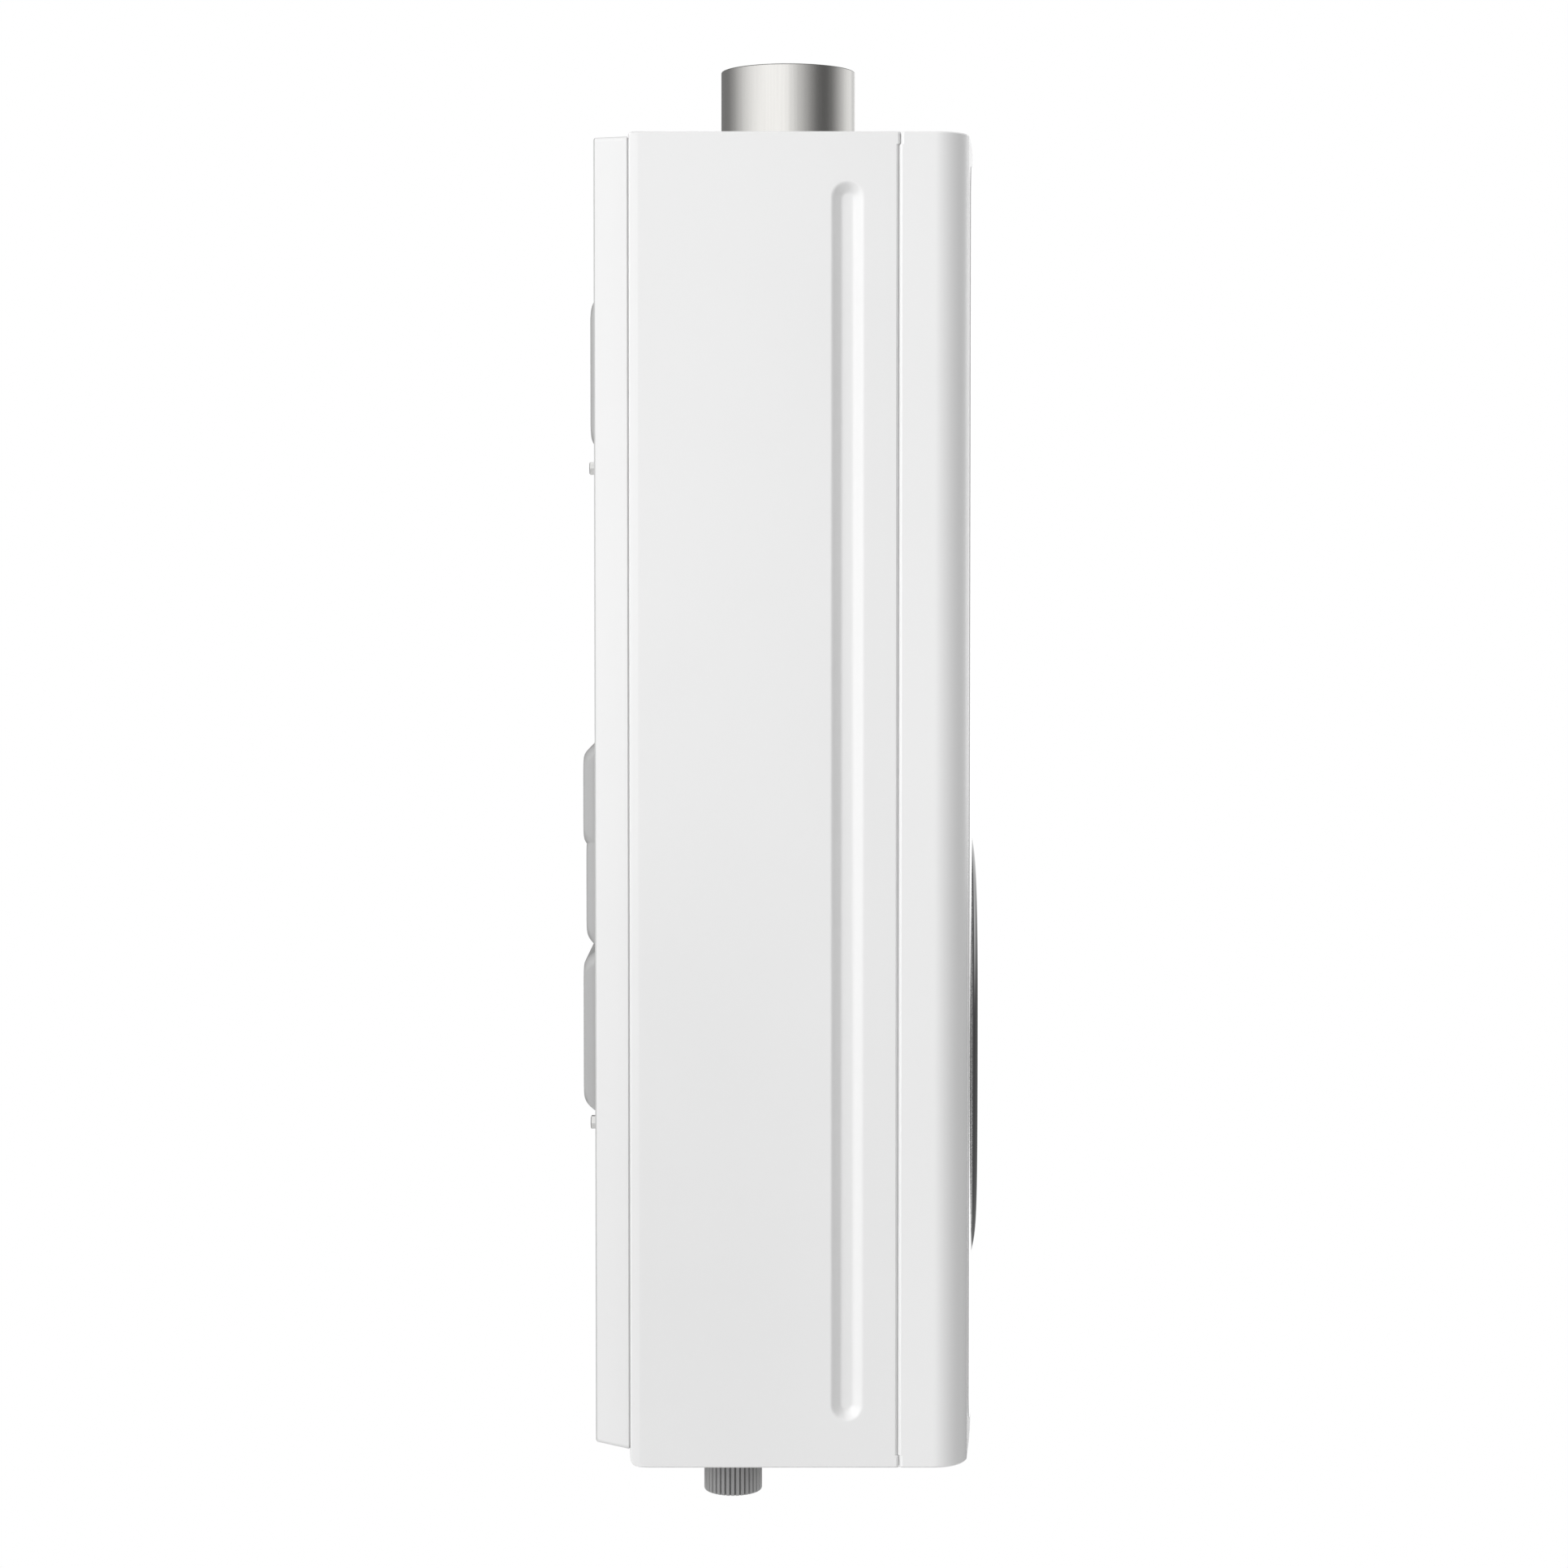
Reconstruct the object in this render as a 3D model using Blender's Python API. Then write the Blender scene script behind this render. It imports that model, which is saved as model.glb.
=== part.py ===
"""Tankless gas water heater, wall hung, with a fan on its exhaust.

Metres, +Z up. The origin is the centre of the hanging bracket's pad, in the plane of the wall (Y = 0).
The front faces -Y. Heights below are measured from the underside of the casing, which the empty named
heater stands for, and depths are distances from the wall.
"""

import math

import bmesh
import bpy
from mathutils import Matrix, Vector

# Fits that every piece shares
GAP = 0.0003  # between two pieces that touch
OVERRUN = 0.004  # how far a cutter passes the wall that it cuts
SHEET = 0.001  # painted sheet steel
SCREW_FIT = 0.0003  # round a screw's shank

# How finely round shapes are cut
ARC_STEPS = 5
EDGE_STEPS = 6
FRONT_STEPS = 12
FASCIA_STEPS = 24
GLASS_SIDES = 48

# Casing
CASING_WIDTH = 0.330
CASING_HEIGHT = 0.520
CASING_REAR_RADIUS = 0.0025
REAR_FLANGE_WIDTH = 0.024
FLANGE_CORNER = 0.008
VENTS = 14
VENT_PITCH = 0.016
VENT_WIDTH = 0.0065
VENT_LENGTH = 0.014
VENT_FROM_REAR = 0.0073
GROOVE_FROM_SEAM = 0.0198
GROOVE_WIDTH = 0.0126
GROOVE_DEPTH = 0.0030
GROOVE_SLOPE = 0.0042
GROOVE_LOW = 0.0183
GROOVE_FROM_TOP = 0.0190

# Front cover
SEAM_GAP = 0.0008
COVER_FLAT = 0.0140
COVER_EDGE_RADIUS = 0.0139
BULGE = 0.0068
LIP_REACH = 0.008
LIP_DOUBLER = 0.006
LIP_THICKNESS = 0.0012

# Fascia and display
FASCIA_THICKNESS = 0.0007
FASCIA_SIDE_MARGIN = 0.025
FASCIA_TOP_MARGIN = 0.0090
FASCIA_BOTTOM_MARGIN = 0.0100
FASCIA_CORNER = 0.014
GLASS_RADIUS = 0.0950
GLASS_RISE = 0.0023
GLASS_EDGE = 0.0006
GLASS_EDGE_REACH = 0.010
GLASS_EDGE_POWER = 2.2
GLASS_HEIGHT = 0.1446
WINDOW_RADIUS = 0.042
DISPLAY_RIM_RADIUS = 0.050
DISPLAY_DEPTH = 0.014
DISPLAY_WALL = 0.002
BOARD_THICKNESS = 0.0016
BOARD_SHELF = 0.005

# Rear tray
TRAY_REAR = 0.0067
TRAY_DEPTH = 0.0140
TRAY_SIDE_MARGIN = 0.008
TRAY_TAPER = 0.002
TRAY_TOP_MARGIN = 0.0008
TRAY_TOP_TAPER = 0.0003
TRAY_BOTTOM = 0.0047
TRAY_REAR_BOTTOM = 0.0072
TRAY_FLANGE = 0.012
TRAY_CORNER = 0.002
TRAY_INNER_CORNER = 0.002
PAD_SIDE_MARGIN = 0.035
PAD_SLOPE = 0.0045
UPPER_PAD_FROM_RAIL = 0.019
UPPER_PAD_TALL = 0.059
UPPER_PAD_PROUD = 0.0030
MIDDLE_PAD_LOW = 0.244
MIDDLE_PAD_HIGH = 0.280
STEP_PAD_LOW = 0.203
STEP_PAD_HIGH = 0.240
STEP_PAD_PROUD = 0.0050
LOWER_PAD_LOW = 0.134
LOWER_PAD_HIGH = 0.199
PAD_PROUD = 0.0062

# Hanging bracket
BRACKET_FROM_TOP = 0.034
BRACKET_TALL = 0.036
BRACKET_PAD = 0.036
BRACKET_LEG = 0.004
BRACKET_FOOT = 0.018
BRACKET_THICKNESS = 0.0016
KEYHOLE_OFFSET = 0.020
KEYHOLE_RADIUS = 0.0048
KEYHOLE_SLOT = 0.0026
KEYHOLE_RISE = 0.009
BRACKET_SCREW_LENGTH = 0.0045

# Screws
SCREW_SHANK = 0.0018
SCREW_HEAD_RADIUS = 0.0036
SCREW_HEAD_HEIGHT = 0.0014
CHASSIS_HEAD_HEIGHT = 0.0028
SCREW_LENGTH = 0.0060
COVER_SCREW_FROM_SIDE = 0.055
COVER_SCREW_FROM_SEAM = 0.004
RAIL_SCREW_FROM_END = 0.009

# Flue
FLUE_FROM_REAR = 0.0619
SEAM_FROM_FLUE = 0.0425
FLUE_RADIUS = 0.0291
FLUE_WALL = 0.0008
FLUE_RISE = 0.0462
FLUE_FLANGE_RADIUS = 0.044
FLUE_FLANGE_THICKNESS = 0.0012
FLUE_GASKET = 0.002
FLUE_DROP = 0.012
FLUE_SCREW_CIRCLE = 0.0375
FLUE_SCREWS = 4

# Knob and connections below
KNOB_FROM_SIDE = 0.060
KNOB_BEHIND_FLUE = 0.0226
KNOB_RADIUS = 0.0118
KNOB_REACH = 0.0254
KNOB_LENGTH = 0.0239
KNOB_FLUTES = 36
KNOB_FLUTE_DEPTH = 0.0006
KNOB_BORE_DEPTH = 0.012
SPINDLE_RADIUS = 0.003
SPINDLE_PLAY = 0.001
SPINDLE_RUN = 0.0001
SPINDLE_SEAT = 0.012
FITTING_BEHIND_FLUE = 0.0026
COLD_OFFSET = 0.055
HOT_OFFSET = 0.060
FITTING_RADIUS = 0.0103
FITTING_BORE = 0.0070
FITTING_REACH = 0.028
FITTING_COLLAR = 0.0145
FITTING_COLLAR_THICKNESS = 0.004
FITTING_TOP = 0.016
THREAD_DEPTH = 0.0009
GLAND_FROM_SIDE = 0.045
GLAND_RADIUS = 0.0080
GLAND_HEAD = 0.0105
GLAND_BORE = 0.0042
GLAND_HEAD_HEIGHT = 0.006
GLAND_REACH = 0.009
GLAND_CHAMFER = 0.0015

# Combustion parts
CORE_HALF_WIDTH = 0.092
CORE_HALF_DEPTH = 0.038
CORE_WALL = 0.001
BURNER_LOW = 0.122
BURNER_SHARE = 3 / 7  # of the room from the burner's underside to the exchanger
EXCHANGER_TALL = 0.054
HOOD_TALL = 0.022
BURNER_BARS = 11
BAR_THICKNESS = 0.007
BARS_SHARE = 0.8  # of the burner's height
BAR_RAIL = 0.006
FINS = 25
FIN_THICKNESS = 0.0008
FIN_SPINE = 0.006
HOOD_INLET_RADIUS = 0.026
HOOD_SKIRT = 0.006
HOOD_TAPER = 0.004
AIR_MARGIN = 0.012
AIR_CORNER = 0.006
ROD_OFFSET = 0.030
ROD_SHARE = 0.1  # of the combustion chamber's height
ROD_RADIUS = 0.0035
ROD_TIP_RADIUS = 0.0010
ROD_FLANGE = 0.008
ROD_REACH = 0.022
ROD_OUTSIDE = 0.012

# Fan
FAN_FROM_NECK = 0.0015
SCROLL_RADIUS = 0.046
SCROLL_TALL = 0.044
SCROLL_WALL = 0.001
DUCT_END = -0.034
DUCT_HALF_DEPTH = 0.032
NECK_RADIUS = 0.0280
NECK_REACH = 0.014
IMPELLER_RADIUS = 0.038
IMPELLER_LIFT = 0.005
IMPELLER_TALL = 0.032
IMPELLER_BLADES = 24
BLADE_THICKNESS = 0.0010
BLADE_LENGTH = 0.009
SHAFT_RADIUS = 0.0025
MOTOR_RADIUS = 0.026
MOTOR_TALL = 0.048
MOTOR_HEADROOM = 0.020
MOTOR_FOOT = 0.0305
MOTOR_FOOT_THICKNESS = 0.002
MOTOR_CAP = 0.004
SHAFT_PLAY = 0.001
SHAFT_RUN = 0.0001
WEB = 0.001
IMPELLER_HUB = 0.006
HUB_TALL = 0.014
BLADE_INSET = 0.001

# Water side
SENSOR_RADIUS = 0.0140
SENSOR_TALL = 0.0337
SENSOR_WALL = 0.003
SENSOR_THROAT = 0.0060
ROTOR_RADIUS = 0.0098
ROTOR_HUB = 0.003
ROTOR_BLADES = 6
ROTOR_BLADE = 0.0012
ROTOR_LIFT = 0.0077
ROTOR_TALL = 0.014
VALVE_MARGIN = 0.012
VALVE_TALL = 0.0277
PIPE_RADIUS = 0.0065
PIPE_BORE = 0.0055
PIPE_SIDES = 10
PIPE_BEND = 0.012
PIPE_TURN = 0.022
HOT_TURN = 0.010
PIPE_OUTSIDE = 0.026

# Gas side
GAS_VALVE_HALF = 0.017
GAS_VALVE_TALL = 0.0557
GAS_COIL_LENGTH = 0.030
GAS_COIL_RADIUS = 0.014
PLUNGER_RADIUS = 0.0045
PLUNGER_LENGTH = 0.024
PLUNGER_TRAVEL = 0.003
PLUNGER_RUN = 0.0003
COIL_CAP = 0.003
GAS_TURN = 0.023
GAS_BEND = 0.010
GAS_PIPE_RADIUS = 0.0050
GAS_PIPE_BORE = 0.0040
MANIFOLD_MARGIN = 0.007
MANIFOLD_TALL = 0.012
MANIFOLD_DEEP = 0.012
MANIFOLD_BORE = 0.0035
MANIFOLD_LIFT = 0.006

# Electric parts
CONTROLLER_LEFT = 0.088
CONTROLLER_LOW = 0.012
CONTROLLER_HIGH = 0.104
CONTROLLER_HALF_DEPTH = 0.036
CONTROLLER_WALL = 0.002
COIL_HALF_WIDTH = 0.019
COIL_LIFT = 0.010
COIL_TALL = 0.030
COIL_DEEP = 0.014
THERMOSTAT_RADIUS = 0.008
THERMOSTAT_DEEP = 0.007
THERMOSTAT_MARGIN = 0.032
SWITCH_MARGIN = 0.030
SWITCH_RADIUS = 0.021
SWITCH_TALL = 0.016

# Rails that carry the combustion parts
RAIL_SIDE_MARGIN = 0.025
RAIL_TALL = 0.020
RAIL_SHEET = 0.0015
RAIL_DROP = 0.005
RAIL_BELOW_BURNER = 0.002

# Places worked out from the sizes above, from the wall to the front
CASING_REAR = TRAY_REAR + TRAY_DEPTH
FLUE_DEPTH = CASING_REAR + FLUE_FROM_REAR
SEAM = FLUE_DEPTH + SEAM_FROM_FLUE
GROOVE_CENTRE = SEAM - GROOVE_FROM_SEAM
COVER_SIDE = SEAM + COVER_FLAT
COVER_EDGE = COVER_SIDE + COVER_EDGE_RADIUS
COVER_FRONT = COVER_EDGE + BULGE
VENT_DEPTH = CASING_REAR + VENT_FROM_REAR
KNOB_DEPTH = FLUE_DEPTH - KNOB_BEHIND_FLUE
FITTING_DEPTH = FLUE_DEPTH - FITTING_BEHIND_FLUE
CORE_REAR = FLUE_DEPTH - CORE_HALF_DEPTH
CORE_FRONT = FLUE_DEPTH + CORE_HALF_DEPTH
VALVE_REAR = KNOB_DEPTH - VALVE_MARGIN
VALVE_FRONT = FITTING_DEPTH + SENSOR_RADIUS

# From the middle to the sides
HALF_WIDTH = CASING_WIDTH / 2
BULGE_HALF_WIDTH = HALF_WIDTH - COVER_EDGE_RADIUS
FRONT_RADIUS = (BULGE_HALF_WIDTH**2 + BULGE**2) / (2 * BULGE)
FASCIA_HALF_WIDTH = HALF_WIDTH - FASCIA_SIDE_MARGIN
TRAY_HALF_WIDTH = HALF_WIDTH - TRAY_SIDE_MARGIN
TRAY_REAR_HALF_WIDTH = TRAY_HALF_WIDTH - TRAY_TAPER
PAD_HALF_WIDTH = HALF_WIDTH - PAD_SIDE_MARGIN
RAIL_HALF_WIDTH = HALF_WIDTH - RAIL_SIDE_MARGIN
RAIL_SCREW_OFFSET = RAIL_HALF_WIDTH - RAIL_SCREW_FROM_END
BRACKET_SCREW = BRACKET_PAD + BRACKET_LEG + BRACKET_FOOT / 2
COVER_SCREW_OFFSET = HALF_WIDTH - COVER_SCREW_FROM_SIDE
KNOB_OFFSET = HALF_WIDTH - KNOB_FROM_SIDE
GLAND_OFFSET = HALF_WIDTH - GLAND_FROM_SIDE
VALVE_LEFT = KNOB_OFFSET + VALVE_MARGIN
VALVE_RIGHT = COLD_OFFSET - SENSOR_RADIUS
PIPE_CLEAR = PIPE_BEND - (PIPE_BEND - PIPE_RADIUS - GAP) / math.sqrt(2)
PIPE_SIDE = CORE_HALF_WIDTH + PIPE_CLEAR
PIPE_FAR_SIDE = CORE_HALF_WIDTH + PIPE_OUTSIDE
MANIFOLD_HALF_WIDTH = CORE_HALF_WIDTH - MANIFOLD_MARGIN
HOOD_TOP_HALF_WIDTH = CORE_HALF_WIDTH - HOOD_TAPER
AIR_HALF_WIDTH = CORE_HALF_WIDTH - AIR_MARGIN
AIR_HALF_DEPTH = CORE_HALF_DEPTH - AIR_MARGIN
THERMOSTAT_OFFSET = CORE_HALF_WIDTH - THERMOSTAT_MARGIN
SWITCH_OFFSET = CORE_HALF_WIDTH - SWITCH_MARGIN
FAN_OFFSET = NECK_RADIUS + FAN_FROM_NECK + MOTOR_FOOT
CONTROLLER_RIGHT = HALF_WIDTH - GROOVE_DEPTH - SHEET - GAP

# From the top down
GROOVE_HIGH = CASING_HEIGHT - GROOVE_FROM_TOP
BRACKET_HEIGHT = CASING_HEIGHT - BRACKET_FROM_TOP
TRAY_TOP = CASING_HEIGHT - TRAY_TOP_MARGIN
TRAY_REAR_TOP = TRAY_TOP - TRAY_TOP_TAPER
NECK_TOP = CASING_HEIGHT + NECK_REACH
MOTOR_HIGH = CASING_HEIGHT - MOTOR_HEADROOM
SCROLL_HIGH = MOTOR_HIGH - MOTOR_TALL
HOOD_HIGH = SCROLL_HIGH - SCROLL_TALL
IMPELLER_LOW = HOOD_HIGH + IMPELLER_LIFT
IMPELLER_HIGH = IMPELLER_LOW + IMPELLER_TALL
EXCHANGER_HIGH = HOOD_HIGH - HOOD_TALL
CHAMBER_HIGH = EXCHANGER_HIGH - EXCHANGER_TALL
EXCHANGER_MIDDLE = (CHAMBER_HIGH + EXCHANGER_HIGH) / 2
RAIL_UPPER = EXCHANGER_HIGH - RAIL_DROP
UPPER_PAD_LOW = RAIL_UPPER + UPPER_PAD_FROM_RAIL
UPPER_PAD_HIGH = UPPER_PAD_LOW + UPPER_PAD_TALL

# From the bottom up
BURNER_HIGH = BURNER_LOW + BURNER_SHARE * (CHAMBER_HIGH - BURNER_LOW)
BURNER_BARS_TALL = BARS_SHARE * (BURNER_HIGH - BURNER_LOW)
ROD_HEIGHT = BURNER_HIGH + ROD_SHARE * (CHAMBER_HIGH - BURNER_HIGH)
COIL_PIPE_HEIGHT = (BURNER_HIGH + CHAMBER_HIGH) / 2
COIL_LOW = COIL_PIPE_HEIGHT + PIPE_RADIUS + COIL_LIFT
RAIL_LOWER = BURNER_LOW - RAIL_BELOW_BURNER
SENSOR_LOW = FITTING_TOP + GAP
SENSOR_HIGH = SENSOR_LOW + SENSOR_TALL
ROTOR_LOW = SENSOR_LOW + ROTOR_LIFT
ROTOR_HIGH = ROTOR_LOW + ROTOR_TALL
VALVE_LOW = SENSOR_HIGH + GAP
VALVE_HIGH = VALVE_LOW + VALVE_TALL
GAS_VALVE_HIGH = FITTING_TOP + GAP + GAS_VALVE_TALL

# Each pressed pad of the tray: its lowest and highest edge, and how far it stands proud
PADS = (
    (UPPER_PAD_LOW, UPPER_PAD_HIGH, UPPER_PAD_PROUD),
    (MIDDLE_PAD_LOW, MIDDLE_PAD_HIGH, PAD_PROUD),
    (STEP_PAD_LOW, STEP_PAD_HIGH, STEP_PAD_PROUD),
    (LOWER_PAD_LOW, LOWER_PAD_HIGH, PAD_PROUD),
)


for old in list(bpy.data.objects):
    bpy.data.objects.remove(old, do_unlink=True)

scene_objects = bpy.context.scene.collection.objects

heater = bpy.data.objects.new("heater", None)
heater.location = (0, 0, -BRACKET_HEIGHT)
scene_objects.link(heater)


def material(name, colour, roughness, metallic=0.0):
    made = bpy.data.materials.new(name)
    made.use_nodes = True
    shader = made.node_tree.nodes["Principled BSDF"]
    shader.inputs["Base Color"].default_value = (*colour, 1)
    shader.inputs["Roughness"].default_value = roughness
    shader.inputs["Metallic"].default_value = metallic
    return made


WHITE = material("white_paint", (0.80, 0.80, 0.80), 0.35)
GALVANISED = material("galvanised_steel", (0.60, 0.61, 0.62), 0.40, 1.0)
STAINLESS = material("stainless_steel", (0.62, 0.60, 0.58), 0.28, 1.0)
ZINC = material("zinc_screw", (0.66, 0.66, 0.66), 0.32, 1.0)
ALUMINIUM = material("cast_aluminium", (0.62, 0.63, 0.64), 0.45, 1.0)
BRASS = material("brass", (0.72, 0.55, 0.28), 0.30, 1.0)
COPPER = material("copper", (0.72, 0.40, 0.26), 0.32, 1.0)
GLASS = material("black_glass", (0.012, 0.012, 0.014), 0.08)
KNOB_PLASTIC = material("knob_plastic", (0.10, 0.10, 0.10), 0.40)
BLACK_PLASTIC = material("black_plastic", (0.03, 0.03, 0.03), 0.50)
WHITE_PLASTIC = material("white_plastic", (0.75, 0.75, 0.73), 0.45)
BOARD = material("circuit_board", (0.04, 0.22, 0.10), 0.45)
CERAMIC = material("ceramic", (0.85, 0.84, 0.80), 0.30)
RUBBER = material("rubber", (0.45, 0.16, 0.12), 0.70)


def add(name, bm, finish, smooth=True):
    """Makes an object of a bmesh whose heights are measured from the casing's underside."""
    bmesh.ops.recalc_face_normals(bm, faces=bm.faces)
    mesh = bpy.data.meshes.new(name)
    bm.to_mesh(mesh)
    bm.free()
    if smooth:
        mesh.shade_smooth()
        mesh.set_sharp_from_angle(angle=math.radians(30))
    mesh.materials.append(finish)
    made = bpy.data.objects.new(name, mesh)
    made.parent = heater
    scene_objects.link(made)
    return made


def tool(bm):
    """A hidden object that a Boolean cuts away or joins on."""
    helper = add("cutter", bm, WHITE, smooth=False)
    helper.hide_render = True
    helper.display_type = "WIRE"
    return helper


def boolean(target, bm, operation):
    step = target.modifiers.new(operation.lower(), "BOOLEAN")
    step.operation = operation
    step.solver = "EXACT"
    step.object = tool(bm)


def cut(target, bm):
    boolean(target, bm, "DIFFERENCE")


def join(target, bm):
    boolean(target, bm, "UNION")


def loft(loops):
    """A solid between loops of equally many points, closed with a flat face at each end."""
    bm = bmesh.new()
    rings = [[bm.verts.new(point) for point in loop] for loop in loops]
    for low, high in zip(rings, rings[1:]):
        for i in range(len(low)):
            j = (i + 1) % len(low)
            bm.faces.new((low[i], low[j], high[j], high[i]))
    bm.faces.new(rings[0])
    bm.faces.new(rings[-1])
    return bm


def prism_z(outline, low, high):
    """outline holds (x, depth) points, and depth is the distance from the wall."""
    return loft([[(x, -depth, z) for x, depth in outline] for z in (low, high)])


def prism_y(outline, rear, front):
    """outline holds (x, z) points, and rear and front are distances from the wall."""
    return loft([[(x, -depth, z) for x, z in outline] for depth in (rear, front)])


def prism_x(outline, left, right):
    """outline holds (depth, z) points."""
    return loft([[(x, -depth, z) for depth, z in outline] for x in (left, right)])


def block(left, right, rear, front, low, high):
    outline = [(left, rear), (right, rear), (right, front), (left, front)]
    return prism_z(outline, low, high)


def frame_of(axis):
    """Turns a profile's own Z axis to lie along the axis named."""
    turns = {
        "Z": Matrix.Identity(4),
        "Y": Matrix.Rotation(math.radians(90), 4, "X"),
        "X": Matrix.Rotation(math.radians(90), 4, "Y"),
    }
    return turns[axis]


def turned(profile, place=(0, 0, 0), axis="Z", sides=24):
    """Turns a closed (radius, height) profile. Along Y, height is distance from the wall."""
    bm = bmesh.new()
    rings = []
    for radius, height in profile:
        if radius == 0:
            rings.append([bm.verts.new((0, 0, height))] * sides)
            continue
        ring = []
        for i in range(sides):
            angle = 2 * math.pi * i / sides
            ring.append(bm.verts.new((radius * math.cos(angle), radius * math.sin(angle), height)))
        rings.append(ring)
    for low, high in zip(rings, rings[1:] + rings[:1]):
        for i in range(sides):
            j = (i + 1) % sides
            corners = list(dict.fromkeys((low[i], low[j], high[j], high[i])))
            if len(corners) > 2:
                bm.faces.new(corners)
    x, depth, z = place
    bm.transform(Matrix.Translation((x, -depth, z)) @ frame_of(axis))
    return bm


def disc(radius, low, high, place=(0, 0, 0), axis="Z", sides=24):
    return turned([(0, low), (radius, low), (radius, high), (0, high)], place, axis, sides)


def tube(inner, outer, low, high, place=(0, 0, 0), axis="Z", sides=24):
    profile = [(inner, low), (outer, low), (outer, high), (inner, high)]
    return turned(profile, place, axis, sides)


def rounded(left, right, low, high, radius, steps=8):
    """Points round a rectangle with round corners."""
    corners = (
        (right - radius, low + radius, -90),
        (right - radius, high - radius, 0),
        (left + radius, high - radius, 90),
        (left + radius, low + radius, 180),
    )
    points = []
    for x, z, start in corners:
        for i in range(steps + 1):
            angle = math.radians(start + 90 * i / steps)
            points.append((x + radius * math.cos(angle), z + radius * math.sin(angle)))
    return points


def smooth_path(stops, radius, steps=4):
    """The stops of a bent pipe with each bend rounded to the radius given."""
    stops = [Vector((x, -depth, z)) for x, depth, z in stops]
    points = [stops[0]]
    for before, corner, after in zip(stops, stops[1:], stops[2:]):
        arriving = (before - corner).normalized()
        leaving = (after - corner).normalized()
        half = arriving.angle(leaving) / 2
        back = radius / math.tan(half)
        centre = corner + (arriving + leaving).normalized() * radius / math.sin(half)
        start = corner + arriving * back - centre
        end = corner + leaving * back - centre
        for i in range(steps + 1):
            points.append(centre + radius * start.slerp(end, i / steps).normalized())
    points.append(stops[-1])
    return points


def pipe(stops, outer, inner, bend, sides=PIPE_SIDES):
    """A bent pipe with its bore, from end to end."""
    points = smooth_path(stops, bend)
    bm = bmesh.new()
    side = (points[1] - points[0]).orthogonal().normalized()
    rings = []
    for i, point in enumerate(points):
        before = points[max(i - 1, 0)]
        after = points[min(i + 1, len(points) - 1)]
        along = (after - before).normalized()
        side = (side - along * side.dot(along)).normalized()
        up = along.cross(side)
        pair = []
        for radius in (outer, inner):
            turn = [2 * math.pi * k / sides for k in range(sides)]
            pair.append(
                [bm.verts.new(point + radius * (side * math.cos(a) + up * math.sin(a))) for a in turn]
            )
        rings.append(pair)
    for low, high in zip(rings, rings[1:]):
        for a, b in zip(low, high):
            for k in range(sides):
                n = (k + 1) % sides
                bm.faces.new((a[k], a[n], b[n], b[k]))
    for wide, narrow in (rings[0], rings[-1]):
        for k in range(sides):
            n = (k + 1) % sides
            bm.faces.new((wide[k], wide[n], narrow[n], narrow[k]))
    return bm


def screw(name, place, axis, toward, length=SCREW_LENGTH, head=SCREW_HEAD_HEIGHT):
    """A screw. place is under its head, and toward is +1 or -1 along the axis."""
    profile = [
        (0, -head),
        (SCREW_HEAD_RADIUS * 0.8, -head),
        (SCREW_HEAD_RADIUS, -head * 0.45),
        (SCREW_HEAD_RADIUS, 0),
        (SCREW_SHANK, 0),
        (SCREW_SHANK, length - SCREW_SHANK),
        (0, length),
    ]
    profile = [(radius, toward * height) for radius, height in profile]
    return add(name, turned(profile, place, axis, 12), ZINC)


# Casing, cover and tray
def casing_outline(inset, front):
    """Plan of the casing's walls, with round rear corners, open or closed at the depth named front."""
    side = HALF_WIDTH - inset
    rear = CASING_REAR + inset
    radius = max(CASING_REAR_RADIUS - inset, CASING_REAR_RADIUS / 2)
    points = [(side, front)]
    for sign, start in ((1, 0), (-1, 90)):
        for i in range(ARC_STEPS + 1):
            angle = math.radians(start + 90 * i / ARC_STEPS)
            x = sign * (side - radius) + radius * math.cos(angle)
            points.append((x, rear + radius - radius * math.sin(angle)))
    points.append((-side, front))
    return points


def front_depth(x, proud=0.0):
    """Depth of the arched front at x, or of a surface that lies proud of it."""
    radius = FRONT_RADIUS + proud
    return COVER_FRONT - FRONT_RADIUS + math.sqrt(radius**2 - x**2)


def cover_outline(inset, rear):
    """Plan of the cover: straight sides, round edges and the arched front."""
    side = HALF_WIDTH - inset
    radius = COVER_EDGE_RADIUS - inset
    centre_x = side - radius
    centre_depth = COVER_SIDE
    meet = front_depth(centre_x, -inset) - centre_depth
    half = [(side, rear)]
    for i in range(EDGE_STEPS + 1):
        angle = math.radians(90 * i / EDGE_STEPS)
        half.append((centre_x + radius * math.cos(angle), centre_depth + meet * math.sin(angle)))
    for i in range(1, FRONT_STEPS):
        x = centre_x * (1 - i / FRONT_STEPS)
        half.append((x, front_depth(x, -inset)))
    centre = [(0, COVER_FRONT - inset)]
    return half + centre + [(-x, depth) for x, depth in reversed(half)]


def groove_outline(half_width, low, high):
    """A long slot with round ends, as (depth, z) points."""
    points = []
    for z, start in ((high - half_width, 0), (low + half_width, 180)):
        for i in range(ARC_STEPS + 1):
            angle = math.radians(start + 180 * i / ARC_STEPS)
            points.append((GROOVE_CENTRE + half_width * math.cos(angle), z + half_width * math.sin(angle)))
    return points


def groove_solid(side, spread, floor):
    """The pressed groove of one side: a slot that narrows to its floor, which lies in from the side."""
    loops = []
    for into, growth in ((-OVERRUN, 0), (0, 0), (floor, -GROOVE_SLOPE)):
        half_width = GROOVE_WIDTH / 2 + spread + growth
        points = groove_outline(half_width, GROOVE_LOW - spread - growth, GROOVE_HIGH + spread + growth)
        loops.append([(side * (HALF_WIDTH - into), -depth, z) for depth, z in points])
    return loft(loops)


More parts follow.
